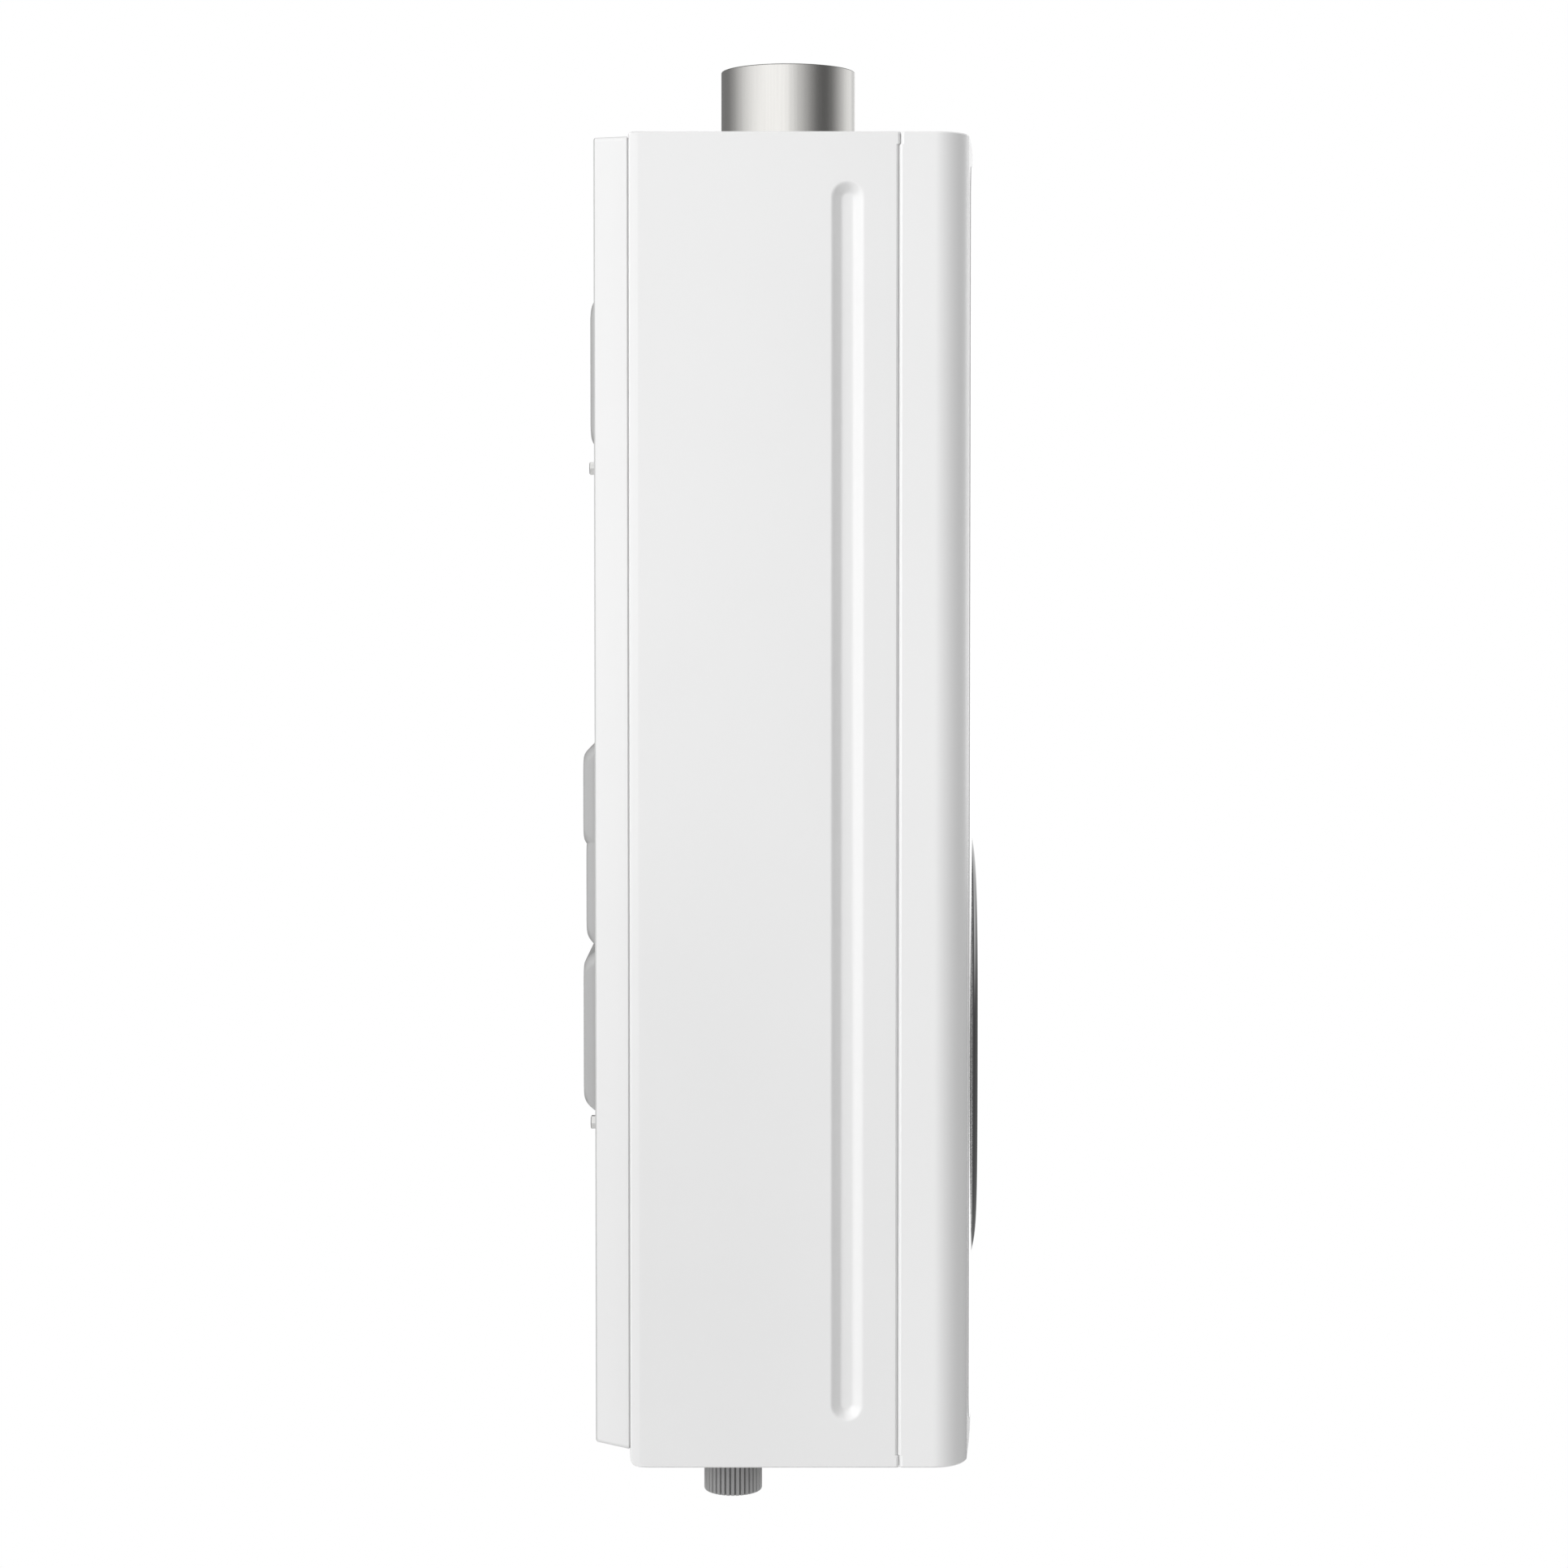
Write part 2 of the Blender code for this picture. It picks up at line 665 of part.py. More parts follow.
def groove_bump(side):
    """The metal that stands into the casing behind a groove."""
    loops = []
    for into, growth in ((SHEET / 2, 0), (GROOVE_DEPTH + SHEET, -GROOVE_SLOPE)):
        half_width = GROOVE_WIDTH / 2 + SHEET + growth
        points = groove_outline(half_width, GROOVE_LOW - SHEET - growth, GROOVE_HIGH + SHEET + growth)
        loops.append([(side * (HALF_WIDTH - into), -depth, z) for depth, z in points])
    return loft(loops)


def make_casing():
    front = SEAM
    casing = add("outer_casing", prism_z(casing_outline(0, front), 0, CASING_HEIGHT), WHITE)
    inside = prism_z(casing_outline(SHEET, front + OVERRUN), SHEET, CASING_HEIGHT - SHEET)
    cut(casing, inside)
    side = HALF_WIDTH - REAR_FLANGE_WIDTH
    opening = rounded(-side, side, REAR_FLANGE_WIDTH, CASING_HEIGHT - REAR_FLANGE_WIDTH, FLANGE_CORNER, 3)
    cut(casing, prism_y(opening, CASING_REAR - OVERRUN, CASING_REAR + OVERRUN))
    for sign in (1, -1):
        join(casing, groove_bump(sign))
        cut(casing, groove_solid(sign, 0, GROOVE_DEPTH))
    top = (CASING_HEIGHT - OVERRUN, CASING_HEIGHT + OVERRUN)
    cut(casing, disc(FLUE_RADIUS + GAP, *top, (0, FLUE_DEPTH, 0)))
    for x, depth in flue_screw_places():
        cut(casing, disc(SCREW_SHANK + SCREW_FIT, *top, (x, depth, 0), sides=12))
    holes = [
        (-KNOB_OFFSET, KNOB_DEPTH, SPINDLE_RADIUS + SPINDLE_PLAY),
        (-COLD_OFFSET, FITTING_DEPTH, FITTING_RADIUS + GAP),
        (0, FITTING_DEPTH, FITTING_RADIUS + GAP),
        (HOT_OFFSET, FITTING_DEPTH, FITTING_RADIUS + GAP),
        (GLAND_OFFSET, FITTING_DEPTH, GLAND_RADIUS + GAP),
    ]
    for sign in (1, -1):
        holes.append((sign * COVER_SCREW_OFFSET, SEAM - COVER_SCREW_FROM_SEAM, SCREW_SHANK + SCREW_FIT))
    for x, depth, radius in holes:
        cut(casing, disc(radius, -OVERRUN, OVERRUN, (x, depth, 0), sides=16))
    first = -VENT_PITCH * (VENTS - 1) / 2
    for i in range(VENTS):
        left = first + i * VENT_PITCH - VENT_WIDTH / 2
        vent = block(left, left + VENT_WIDTH, VENT_DEPTH, VENT_DEPTH + VENT_LENGTH, -OVERRUN, OVERRUN)
        cut(casing, vent)


def make_cover():
    rear = SEAM + SEAM_GAP
    cover = add("front_cover", prism_z(cover_outline(0, rear), 0, CASING_HEIGHT), WHITE)
    cut(cover, prism_z(cover_outline(SHEET, rear - OVERRUN), SHEET, CASING_HEIGHT - SHEET))
    # The lip that slides into the casing, and the doubler that joins it to the cover
    for start, inset, end in (
        (SEAM - LIP_REACH, SHEET + GAP, rear + LIP_DOUBLER),
        (rear, SHEET / 2, rear + LIP_DOUBLER),
    ):
        outer = HALF_WIDTH - inset
        join(cover, block(-outer, outer, start, end, inset, CASING_HEIGHT - inset))
    hollow = SHEET + GAP + LIP_THICKNESS
    inner = HALF_WIDTH - hollow
    reach = (SEAM - LIP_REACH - OVERRUN, rear + LIP_DOUBLER + OVERRUN)
    cut(cover, block(-inner, inner, *reach, hollow, CASING_HEIGHT - hollow))
    window = disc(WINDOW_RADIUS, COVER_FRONT - 2 * OVERRUN, COVER_FRONT + OVERRUN, (0, 0, GLASS_HEIGHT), "Y", 32)
    cut(cover, window)
    for sign in (1, -1):
        place = (sign * COVER_SCREW_OFFSET, SEAM - COVER_SCREW_FROM_SEAM, 0)
        cut(cover, disc(SCREW_SHANK + SCREW_FIT, -OVERRUN, OVERRUN, place, sides=12))
        side = "left" if sign < 0 else "right"
        screw("cover_screw_" + side, (place[0], place[1], -GAP), "Z", 1)


def make_fascia():
    back = FASCIA_HALF_WIDTH + OVERRUN
    xs = [back * (2 * i / FASCIA_STEPS - 1) for i in range(FASCIA_STEPS + 1)]
    rear = [(x, front_depth(x, GAP)) for x in xs]
    front = [(x, front_depth(x, GAP + FASCIA_THICKNESS)) for x in reversed(xs)]
    fascia = add("front_fascia", prism_z(rear + front, 0, CASING_HEIGHT), WHITE)
    shape = rounded(
        -FASCIA_HALF_WIDTH,
        FASCIA_HALF_WIDTH,
        FASCIA_BOTTOM_MARGIN,
        CASING_HEIGHT - FASCIA_TOP_MARGIN,
        FASCIA_CORNER,
    )
    reach = (COVER_EDGE - 2 * OVERRUN, COVER_FRONT + 2 * OVERRUN)
    boolean(fascia, prism_y(shape, *reach), "INTERSECT")
    cut(fascia, disc(WINDOW_RADIUS, *reach, (0, 0, GLASS_HEIGHT), "Y", 32))


def glass_rise(radius):
    """Height of the domed glass above the fascia at a radius."""
    edge = max(0, radius - GLASS_RADIUS + GLASS_EDGE_REACH) / GLASS_EDGE_REACH
    return GLASS_EDGE + (GLASS_RISE - GLASS_EDGE) * (1 - edge**GLASS_EDGE_POWER)


def make_glass():
    seat = 2 * GAP + FASCIA_THICKNESS
    rings = [GLASS_RADIUS * share for share in (0.45,)]
    rings += [GLASS_RADIUS - GLASS_EDGE_REACH * share for share in (1, 0.7, 0.4, 0.15, 0)]
    bm = bmesh.new()

    def ring(radius, rise):
        made = []
        for i in range(GLASS_SIDES):
            angle = 2 * math.pi * i / GLASS_SIDES
            x = radius * math.cos(angle)
            z = GLASS_HEIGHT + radius * math.sin(angle)
            made.append(bm.verts.new((x, -front_depth(x, seat + rise), z)))
        return made

    loops = [ring(radius, glass_rise(radius)) for radius in rings]
    loops += [ring(radius, 0) for radius in (rings[-1], rings[0])]
    front = bm.verts.new((0, -front_depth(0, seat + GLASS_RISE), GLASS_HEIGHT))
    rear = bm.verts.new((0, -front_depth(0, seat), GLASS_HEIGHT))
    for low, high in zip(loops, loops[1:]):
        for i in range(GLASS_SIDES):
            j = (i + 1) % GLASS_SIDES
            bm.faces.new((low[i], low[j], high[j], high[i]))
    for centre, loop in ((front, loops[0]), (rear, loops[-1])):
        for i in range(GLASS_SIDES):
            bm.faces.new((centre, loop[i], loop[(i + 1) % GLASS_SIDES]))
    return add("display_glass", bm, GLASS)


def make_display():
    """A cup with a flange behind the cover's window, whose open face the glass closes, and its board."""
    reach = front_depth(WINDOW_RADIUS, GAP + FASCIA_THICKNESS)
    rim_front = front_depth(DISPLAY_RIM_RADIUS, -SHEET) - GAP
    cup = WINDOW_RADIUS - GAP
    rim_rear = rim_front - DISPLAY_WALL
    floor = rim_rear - DISPLAY_DEPTH
    inner = cup - DISPLAY_WALL
    profile = [
        (0, floor),
        (cup, floor),
        (cup, rim_rear),
        (DISPLAY_RIM_RADIUS, rim_rear),
        (DISPLAY_RIM_RADIUS, rim_front),
        (cup, rim_front),
        (cup, reach),
        (inner, reach),
        (inner, floor + DISPLAY_WALL + BOARD_SHELF),
        (inner - BOARD_SHELF, floor + DISPLAY_WALL + BOARD_SHELF),
        (inner - BOARD_SHELF, floor + DISPLAY_WALL),
        (0, floor + DISPLAY_WALL),
    ]
    add("display_housing", turned(profile, (0, 0, GLASS_HEIGHT), "Y", 32), BLACK_PLASTIC)
    shelf = floor + DISPLAY_WALL + BOARD_SHELF + GAP
    board = disc(inner - GAP, shelf, shelf + BOARD_THICKNESS, (0, 0, GLASS_HEIGHT), "Y", 32)
    add("display_board", board, BOARD)


def tray_loop(half_width, low, high, depth, inset):
    points = rounded(
        -half_width + inset,
        half_width - inset,
        low + inset,
        high - inset,
        max(TRAY_CORNER - inset, TRAY_INNER_CORNER),
        4,
    )
    return [(x, -depth, z) for x, z in points]


def pad_solid(low, high, proud, inset, start):
    """A pressed pad, wide over the tray's rear and sloped to its face."""
    loops = []
    for depth, growth in ((start, 0), (TRAY_REAR - proud + inset, -PAD_SLOPE)):
        half_width = PAD_HALF_WIDTH - inset + growth
        corners = (
            (-half_width, low + inset - growth / 2),
            (half_width, low + inset - growth / 2),
            (half_width, high - inset + growth / 2),
            (-half_width, high - inset + growth / 2),
        )
        loops.append([(x, -depth, z) for x, z in corners])
    return loft(loops)


def make_tray():
    front = CASING_REAR - GAP
    outside = [
        tray_loop(TRAY_HALF_WIDTH, TRAY_BOTTOM, TRAY_TOP, front, 0),
        tray_loop(TRAY_REAR_HALF_WIDTH, TRAY_REAR_BOTTOM, TRAY_REAR_TOP, TRAY_REAR, 0),
    ]
    tray = add("rear_chassis", loft(outside), WHITE)
    inner_front = front - SHEET
    inside = [
        tray_loop(TRAY_HALF_WIDTH, TRAY_BOTTOM, TRAY_TOP, inner_front, SHEET),
        tray_loop(TRAY_REAR_HALF_WIDTH, TRAY_REAR_BOTTOM, TRAY_REAR_TOP, TRAY_REAR + SHEET, SHEET),
    ]
    cut(tray, loft(inside))
    mouth = [
        tray_loop(TRAY_HALF_WIDTH, TRAY_BOTTOM, TRAY_TOP, depth, TRAY_FLANGE)
        for depth in (front + OVERRUN, inner_front - SHEET)
    ]
    cut(tray, loft(mouth))
    for low, high, proud in PADS:
        join(tray, pad_solid(low, high, proud, 0, TRAY_REAR + SHEET / 2))
        cut(tray, pad_solid(low, high, proud, SHEET, TRAY_REAR + OVERRUN / 2))
    for place in rail_screw_places():
        cut(tray, disc(SCREW_SHANK + SCREW_FIT, 0, 2 * TRAY_REAR, place, "Y", 12))
    for x in (-BRACKET_SCREW, BRACKET_SCREW):
        cut(tray, disc(SCREW_SHANK + SCREW_FIT, 0, 2 * TRAY_REAR, (x, 0, BRACKET_HEIGHT), "Y", 12))


def keyhole(x):
    """A round hole with a slot above it, as (x, z) points."""
    turn = math.asin(KEYHOLE_SLOT / KEYHOLE_RADIUS)
    centre = BRACKET_HEIGHT - KEYHOLE_RISE / 2
    points = []
    for i in range(2 * ARC_STEPS + 1):
        angle = math.pi / 2 + turn + (2 * math.pi - 2 * turn) * i / (2 * ARC_STEPS)
        points.append((x + KEYHOLE_RADIUS * math.cos(angle), centre + KEYHOLE_RADIUS * math.sin(angle)))
    for i in range(ARC_STEPS + 1):
        angle = math.pi * i / ARC_STEPS
        z = centre + KEYHOLE_RISE + KEYHOLE_SLOT * math.sin(angle)
        points.append((x + KEYHOLE_SLOT * math.cos(angle), z))
    return points


def make_bracket():
    foot = TRAY_REAR - GAP
    half = [
        (BRACKET_PAD, 0),
        (BRACKET_PAD + BRACKET_LEG, foot - BRACKET_THICKNESS),
        (BRACKET_PAD + BRACKET_LEG + BRACKET_FOOT, foot - BRACKET_THICKNESS),
        (BRACKET_PAD + BRACKET_LEG + BRACKET_FOOT, foot),
        (BRACKET_PAD + BRACKET_LEG - BRACKET_THICKNESS, foot),
        (BRACKET_PAD - BRACKET_THICKNESS, BRACKET_THICKNESS),
    ]
    outline = half + [(-x, depth) for x, depth in reversed(half)]
    low = BRACKET_HEIGHT - BRACKET_TALL / 2
    bracket = add("hanging_bracket", prism_z(outline, low, low + BRACKET_TALL), GALVANISED)
    for x in (-KEYHOLE_OFFSET, KEYHOLE_OFFSET):
        cut(bracket, prism_y(keyhole(x), -OVERRUN, OVERRUN))
    for side, x in (("left", -BRACKET_SCREW), ("right", BRACKET_SCREW)):
        place = (x, foot - BRACKET_THICKNESS - GAP, BRACKET_HEIGHT)
        cut(bracket, disc(SCREW_SHANK + SCREW_FIT, 0, OVERRUN + foot, (x, 0, BRACKET_HEIGHT), "Y", 12))
        screw("bracket_screw_" + side, place, "Y", 1, BRACKET_SCREW_LENGTH)


def rail_screw_places():
    """Left and right screw of each rail, upper rail first."""
    places = []
    for low in (RAIL_UPPER, RAIL_LOWER):
        for x in (-RAIL_SCREW_OFFSET, RAIL_SCREW_OFFSET):
            places.append((x, 0, low + RAIL_TALL / 2))
    return places


# Flue
def flue_screw_places():
    places = []
    for i in range(FLUE_SCREWS):
        angle = 2 * math.pi * (i + 0.5) / FLUE_SCREWS
        x = FLUE_SCREW_CIRCLE * math.cos(angle)
        places.append((x, FLUE_DEPTH + FLUE_SCREW_CIRCLE * math.sin(angle)))
    return places


def make_flue():
    gasket_low = CASING_HEIGHT + GAP
    flange_low = gasket_low + FLUE_GASKET + GAP
    flange_high = flange_low + FLUE_FLANGE_THICKNESS
    bore = FLUE_RADIUS - FLUE_WALL
    profile = [
        (bore, CASING_HEIGHT - FLUE_DROP),
        (FLUE_RADIUS, CASING_HEIGHT - FLUE_DROP),
        (FLUE_RADIUS, flange_low),
        (FLUE_FLANGE_RADIUS, flange_low),
        (FLUE_FLANGE_RADIUS, flange_high),
        (FLUE_RADIUS, flange_high),
        (FLUE_RADIUS, CASING_HEIGHT + FLUE_RISE),
        (bore, CASING_HEIGHT + FLUE_RISE),
    ]
    centre = (0, FLUE_DEPTH, 0)
    collar = add("flue_collar", turned(profile, centre, sides=32), STAINLESS)
    ring = tube(FLUE_RADIUS + GAP, FLUE_FLANGE_RADIUS, gasket_low, gasket_low + FLUE_GASKET, centre, sides=32)
    gasket = add("flue_gasket", ring, RUBBER)
    reach = (gasket_low - OVERRUN, flange_high + OVERRUN)
    for number, (x, depth) in enumerate(flue_screw_places(), 1):
        for target in (collar, gasket):
            cut(target, disc(SCREW_SHANK + SCREW_FIT, *reach, (x, depth, 0), sides=12))
        screw("flue_screw_" + str(number), (x, depth, flange_high + GAP), "Z", -1)


# Knob and connections
def make_knob():
    """A fluted knob with a blind bore for its spindle. Each flute is a shallow valley in its outline."""
    top = KNOB_LENGTH - KNOB_REACH
    low = -KNOB_REACH
    step = 2 * math.pi / KNOB_FLUTES
    outline = []
    for i in range(KNOB_FLUTES):
        for share, radius in ((0, KNOB_RADIUS), (0.55, KNOB_RADIUS), (0.78, KNOB_RADIUS - KNOB_FLUTE_DEPTH)):
            angle = step * (i + share)
            outline.append((-KNOB_OFFSET + radius * math.cos(angle), KNOB_DEPTH + radius * math.sin(angle)))
    knob = add("knob", prism_z(outline, low, top), KNOB_PLASTIC)
    place = (-KNOB_OFFSET, KNOB_DEPTH, 0)
    bore_end = top - KNOB_BORE_DEPTH
    cut(knob, disc(SPINDLE_RADIUS + GAP, bore_end, top + OVERRUN, place, sides=16))
    spindle_end = VALVE_LOW + SPINDLE_SEAT - GAP
    flats = disc(SPINDLE_RADIUS, bore_end + GAP, spindle_end, place, sides=16)
    add("knob_spindle", flats, BRASS)


def make_fitting(name, x, finish=BRASS):
    """A threaded tail below the casing with a collar that seats on the casing's floor."""
    collar_low = SHEET + GAP
    collar_high = collar_low + FITTING_COLLAR_THICKNESS
    profile = [
        (FITTING_BORE, -FITTING_REACH),
        (FITTING_RADIUS - THREAD_DEPTH, -FITTING_REACH),
        (FITTING_RADIUS, -FITTING_REACH + THREAD_DEPTH),
        (FITTING_RADIUS, collar_low),
        (FITTING_COLLAR, collar_low),
        (FITTING_COLLAR, collar_high),
        (FITTING_RADIUS, collar_high),
        (FITTING_RADIUS, FITTING_TOP),
        (FITTING_BORE, FITTING_TOP),
    ]
    add(name, turned(profile, (x, FITTING_DEPTH, 0), sides=24), finish)


def make_gland():
    profile = [
        (GLAND_BORE, -GLAND_HEAD_HEIGHT - GAP),
        (GLAND_HEAD - GLAND_CHAMFER, -GLAND_HEAD_HEIGHT - GAP),
        (GLAND_HEAD, -GLAND_HEAD_HEIGHT - GAP + GLAND_CHAMFER),
        (GLAND_HEAD, -GAP),
        (GLAND_RADIUS, -GAP),
        (GLAND_RADIUS, GLAND_REACH),
        (GLAND_BORE, GLAND_REACH),
    ]
    add("cable_gland", turned(profile, (GLAND_OFFSET, FITTING_DEPTH, 0), sides=20), BLACK_PLASTIC)


def make_water_side():
    centre = (-COLD_OFFSET, FITTING_DEPTH, 0)
    low = SENSOR_LOW
    bore = SENSOR_RADIUS - SENSOR_WALL
    sleeve_profile = [
        (SENSOR_THROAT, low),
        (SENSOR_RADIUS, low),
        (SENSOR_RADIUS, SENSOR_HIGH),
        (bore, SENSOR_HIGH),
        (bore, ROTOR_LOW - GAP),
        (SENSOR_THROAT, ROTOR_LOW - GAP),
    ]
    add("flow_sensor", turned(sleeve_profile, centre, sides=24), BLACK_PLASTIC)
    rotor = add("flow_rotor", disc(ROTOR_HUB, ROTOR_LOW, ROTOR_HIGH, centre, sides=18), WHITE_PLASTIC)
    for i in range(ROTOR_BLADES // 2):
        vane = block(-ROTOR_RADIUS, ROTOR_RADIUS, -ROTOR_BLADE / 2, ROTOR_BLADE / 2, ROTOR_LOW, ROTOR_HIGH)
        turn = Matrix.Rotation(math.pi * i * 2 / ROTOR_BLADES, 4, "Z")
        vane.transform(Matrix.Translation((-COLD_OFFSET, -FITTING_DEPTH, 0)) @ turn)
        join(rotor, vane)
    valve = add(
        "water_valve",
        block(-VALVE_LEFT, -VALVE_RIGHT, VALVE_REAR, VALVE_FRONT, VALVE_LOW, VALVE_HIGH),
        BRASS,
    )
    cut(valve, disc(SENSOR_THROAT, VALVE_LOW - OVERRUN, VALVE_HIGH + OVERRUN, centre, sides=20))
    seat = (-KNOB_OFFSET, KNOB_DEPTH, 0)
    cut(valve, disc(SPINDLE_RADIUS + SPINDLE_RUN, VALVE_LOW - OVERRUN, VALVE_LOW + SPINDLE_SEAT, seat, sides=16))


def make_pipes():
    cold = [
        (-COLD_OFFSET, FITTING_DEPTH, VALVE_HIGH + GAP),
        (-COLD_OFFSET, FITTING_DEPTH, VALVE_HIGH + PIPE_TURN),
        (-PIPE_SIDE, FITTING_DEPTH, VALVE_HIGH + PIPE_TURN),
        (-PIPE_SIDE, FITTING_DEPTH, COIL_PIPE_HEIGHT),
        (-PIPE_SIDE, CORE_FRONT + PIPE_CLEAR, COIL_PIPE_HEIGHT),
        (PIPE_SIDE, CORE_FRONT + PIPE_CLEAR, COIL_PIPE_HEIGHT),
        (PIPE_SIDE, CORE_REAR - PIPE_CLEAR, COIL_PIPE_HEIGHT),
        (-PIPE_FAR_SIDE, CORE_REAR - PIPE_CLEAR, COIL_PIPE_HEIGHT),
        (-PIPE_FAR_SIDE, CORE_REAR - PIPE_CLEAR, EXCHANGER_MIDDLE),
        (-PIPE_FAR_SIDE, FLUE_DEPTH, EXCHANGER_MIDDLE),
        (-CORE_HALF_WIDTH - GAP, FLUE_DEPTH, EXCHANGER_MIDDLE),
    ]
    # The run at the side is split from the wrap round the chamber, where a real union joins them
    split = 4
    joint = (-PIPE_SIDE, FITTING_DEPTH, COIL_PIPE_HEIGHT - PIPE_BEND - 2 * GAP)
    add("cold_pipe", pipe(cold[:3] + [joint], PIPE_RADIUS, PIPE_BORE, PIPE_BEND), COPPER)
    start = (-PIPE_SIDE, FITTING_DEPTH, COIL_PIPE_HEIGHT - PIPE_BEND - GAP)
    wrap = [start, cold[split - 1]] + cold[split:]
    add("exchanger_pipe", pipe(wrap, PIPE_RADIUS, PIPE_BORE, PIPE_BEND), COPPER)
    hot = [
        (CORE_HALF_WIDTH + GAP, FLUE_DEPTH, EXCHANGER_MIDDLE),
        (PIPE_FAR_SIDE, FLUE_DEPTH, EXCHANGER_MIDDLE),
        (PIPE_FAR_SIDE, FLUE_DEPTH, BURNER_LOW - HOT_TURN),
        (HOT_OFFSET, FITTING_DEPTH, BURNER_LOW - HOT_TURN),
        (HOT_OFFSET, FITTING_DEPTH, FITTING_TOP + GAP),
    ]
    add("hot_pipe", pipe(hot, PIPE_RADIUS, PIPE_BORE, PIPE_BEND), COPPER)


def make_gas_side():
    low = FITTING_TOP + GAP
    half = GAS_VALVE_HALF
    valve = add(
        "gas_valve",
        block(-half, half, FITTING_DEPTH - half, FITTING_DEPTH + half, low, GAS_VALVE_HIGH),
        ALUMINIUM,
    )
    cut(valve, disc(FITTING_BORE, low - OVERRUN, GAS_VALVE_HIGH + OVERRUN, (0, FITTING_DEPTH, 0), sides=20))
    coil_rear = FITTING_DEPTH + half + GAP
    coil_place = (0, 0, (low + GAS_VALVE_HIGH) / 2)
    bore = PLUNGER_RADIUS + PLUNGER_RUN
    coil_front = coil_rear + GAS_COIL_LENGTH
    coil = [
        (bore, coil_rear),
        (GAS_COIL_RADIUS, coil_rear),
        (GAS_COIL_RADIUS, coil_front),
        (0, coil_front),
        (0, coil_front - COIL_CAP),
        (bore, coil_front - COIL_CAP),
    ]
    add("gas_valve_coil", turned(coil, coil_place, "Y", 20), BLACK_PLASTIC)
    start = coil_rear + GAP
    plunger = disc(PLUNGER_RADIUS, start, start + PLUNGER_LENGTH - PLUNGER_TRAVEL, coil_place, "Y", 16)
    add("gas_valve_plunger", plunger, ZINC)
    manifold_low = BURNER_LOW + MANIFOLD_LIFT
    rear = CORE_FRONT + GAP
    bar = block(
        -MANIFOLD_HALF_WIDTH,
        MANIFOLD_HALF_WIDTH,
        rear,
        rear + MANIFOLD_DEEP,
        manifold_low,
        manifold_low + MANIFOLD_TALL,
    )
    manifold = add("gas_manifold", bar, ALUMINIUM)
    middle = manifold_low + MANIFOLD_TALL / 2
    run = disc(MANIFOLD_BORE, -MANIFOLD_HALF_WIDTH + MANIFOLD_DEEP, MANIFOLD_HALF_WIDTH + OVERRUN,
               (0, rear + MANIFOLD_DEEP / 2, middle), "X", 12)
    cut(manifold, run)
    feed = disc(MANIFOLD_BORE, manifold_low - OVERRUN, middle, (0, rear + MANIFOLD_DEEP / 2, 0), "Z", 12)
    cut(manifold, feed)
    stops = [
        (0, FITTING_DEPTH, GAS_VALVE_HIGH + GAP),
        (0, FITTING_DEPTH, GAS_VALVE_HIGH + GAS_TURN),
        (0, rear + MANIFOLD_DEEP / 2, GAS_VALVE_HIGH + GAS_TURN),
        (0, rear + MANIFOLD_DEEP / 2, manifold_low - GAP),
    ]
    add("gas_pipe", pipe(stops, GAS_PIPE_RADIUS, GAS_PIPE_BORE, GAS_BEND), GALVANISED)


# Combustion parts
def core_block(inset, low, high):
    half = CORE_HALF_WIDTH - inset
    return block(-half, half, CORE_REAR + inset, CORE_FRONT - inset, low, high)


def comb(width, count, thickness, spine, low, high):
    """Upright plates on one rail, as an outline in (x, z)."""
    pitch = (2 * width - thickness) / (count - 1)
    points = [(-width, low), (width, low)]
    for i in reversed(range(count)):
        left = -width + i * pitch
        right = left + thickness
        points.append((right, high))
        points.append((left, high))
        if i:
            points.append((left, low + spine))
            points.append((right - pitch, low + spine))
    return points


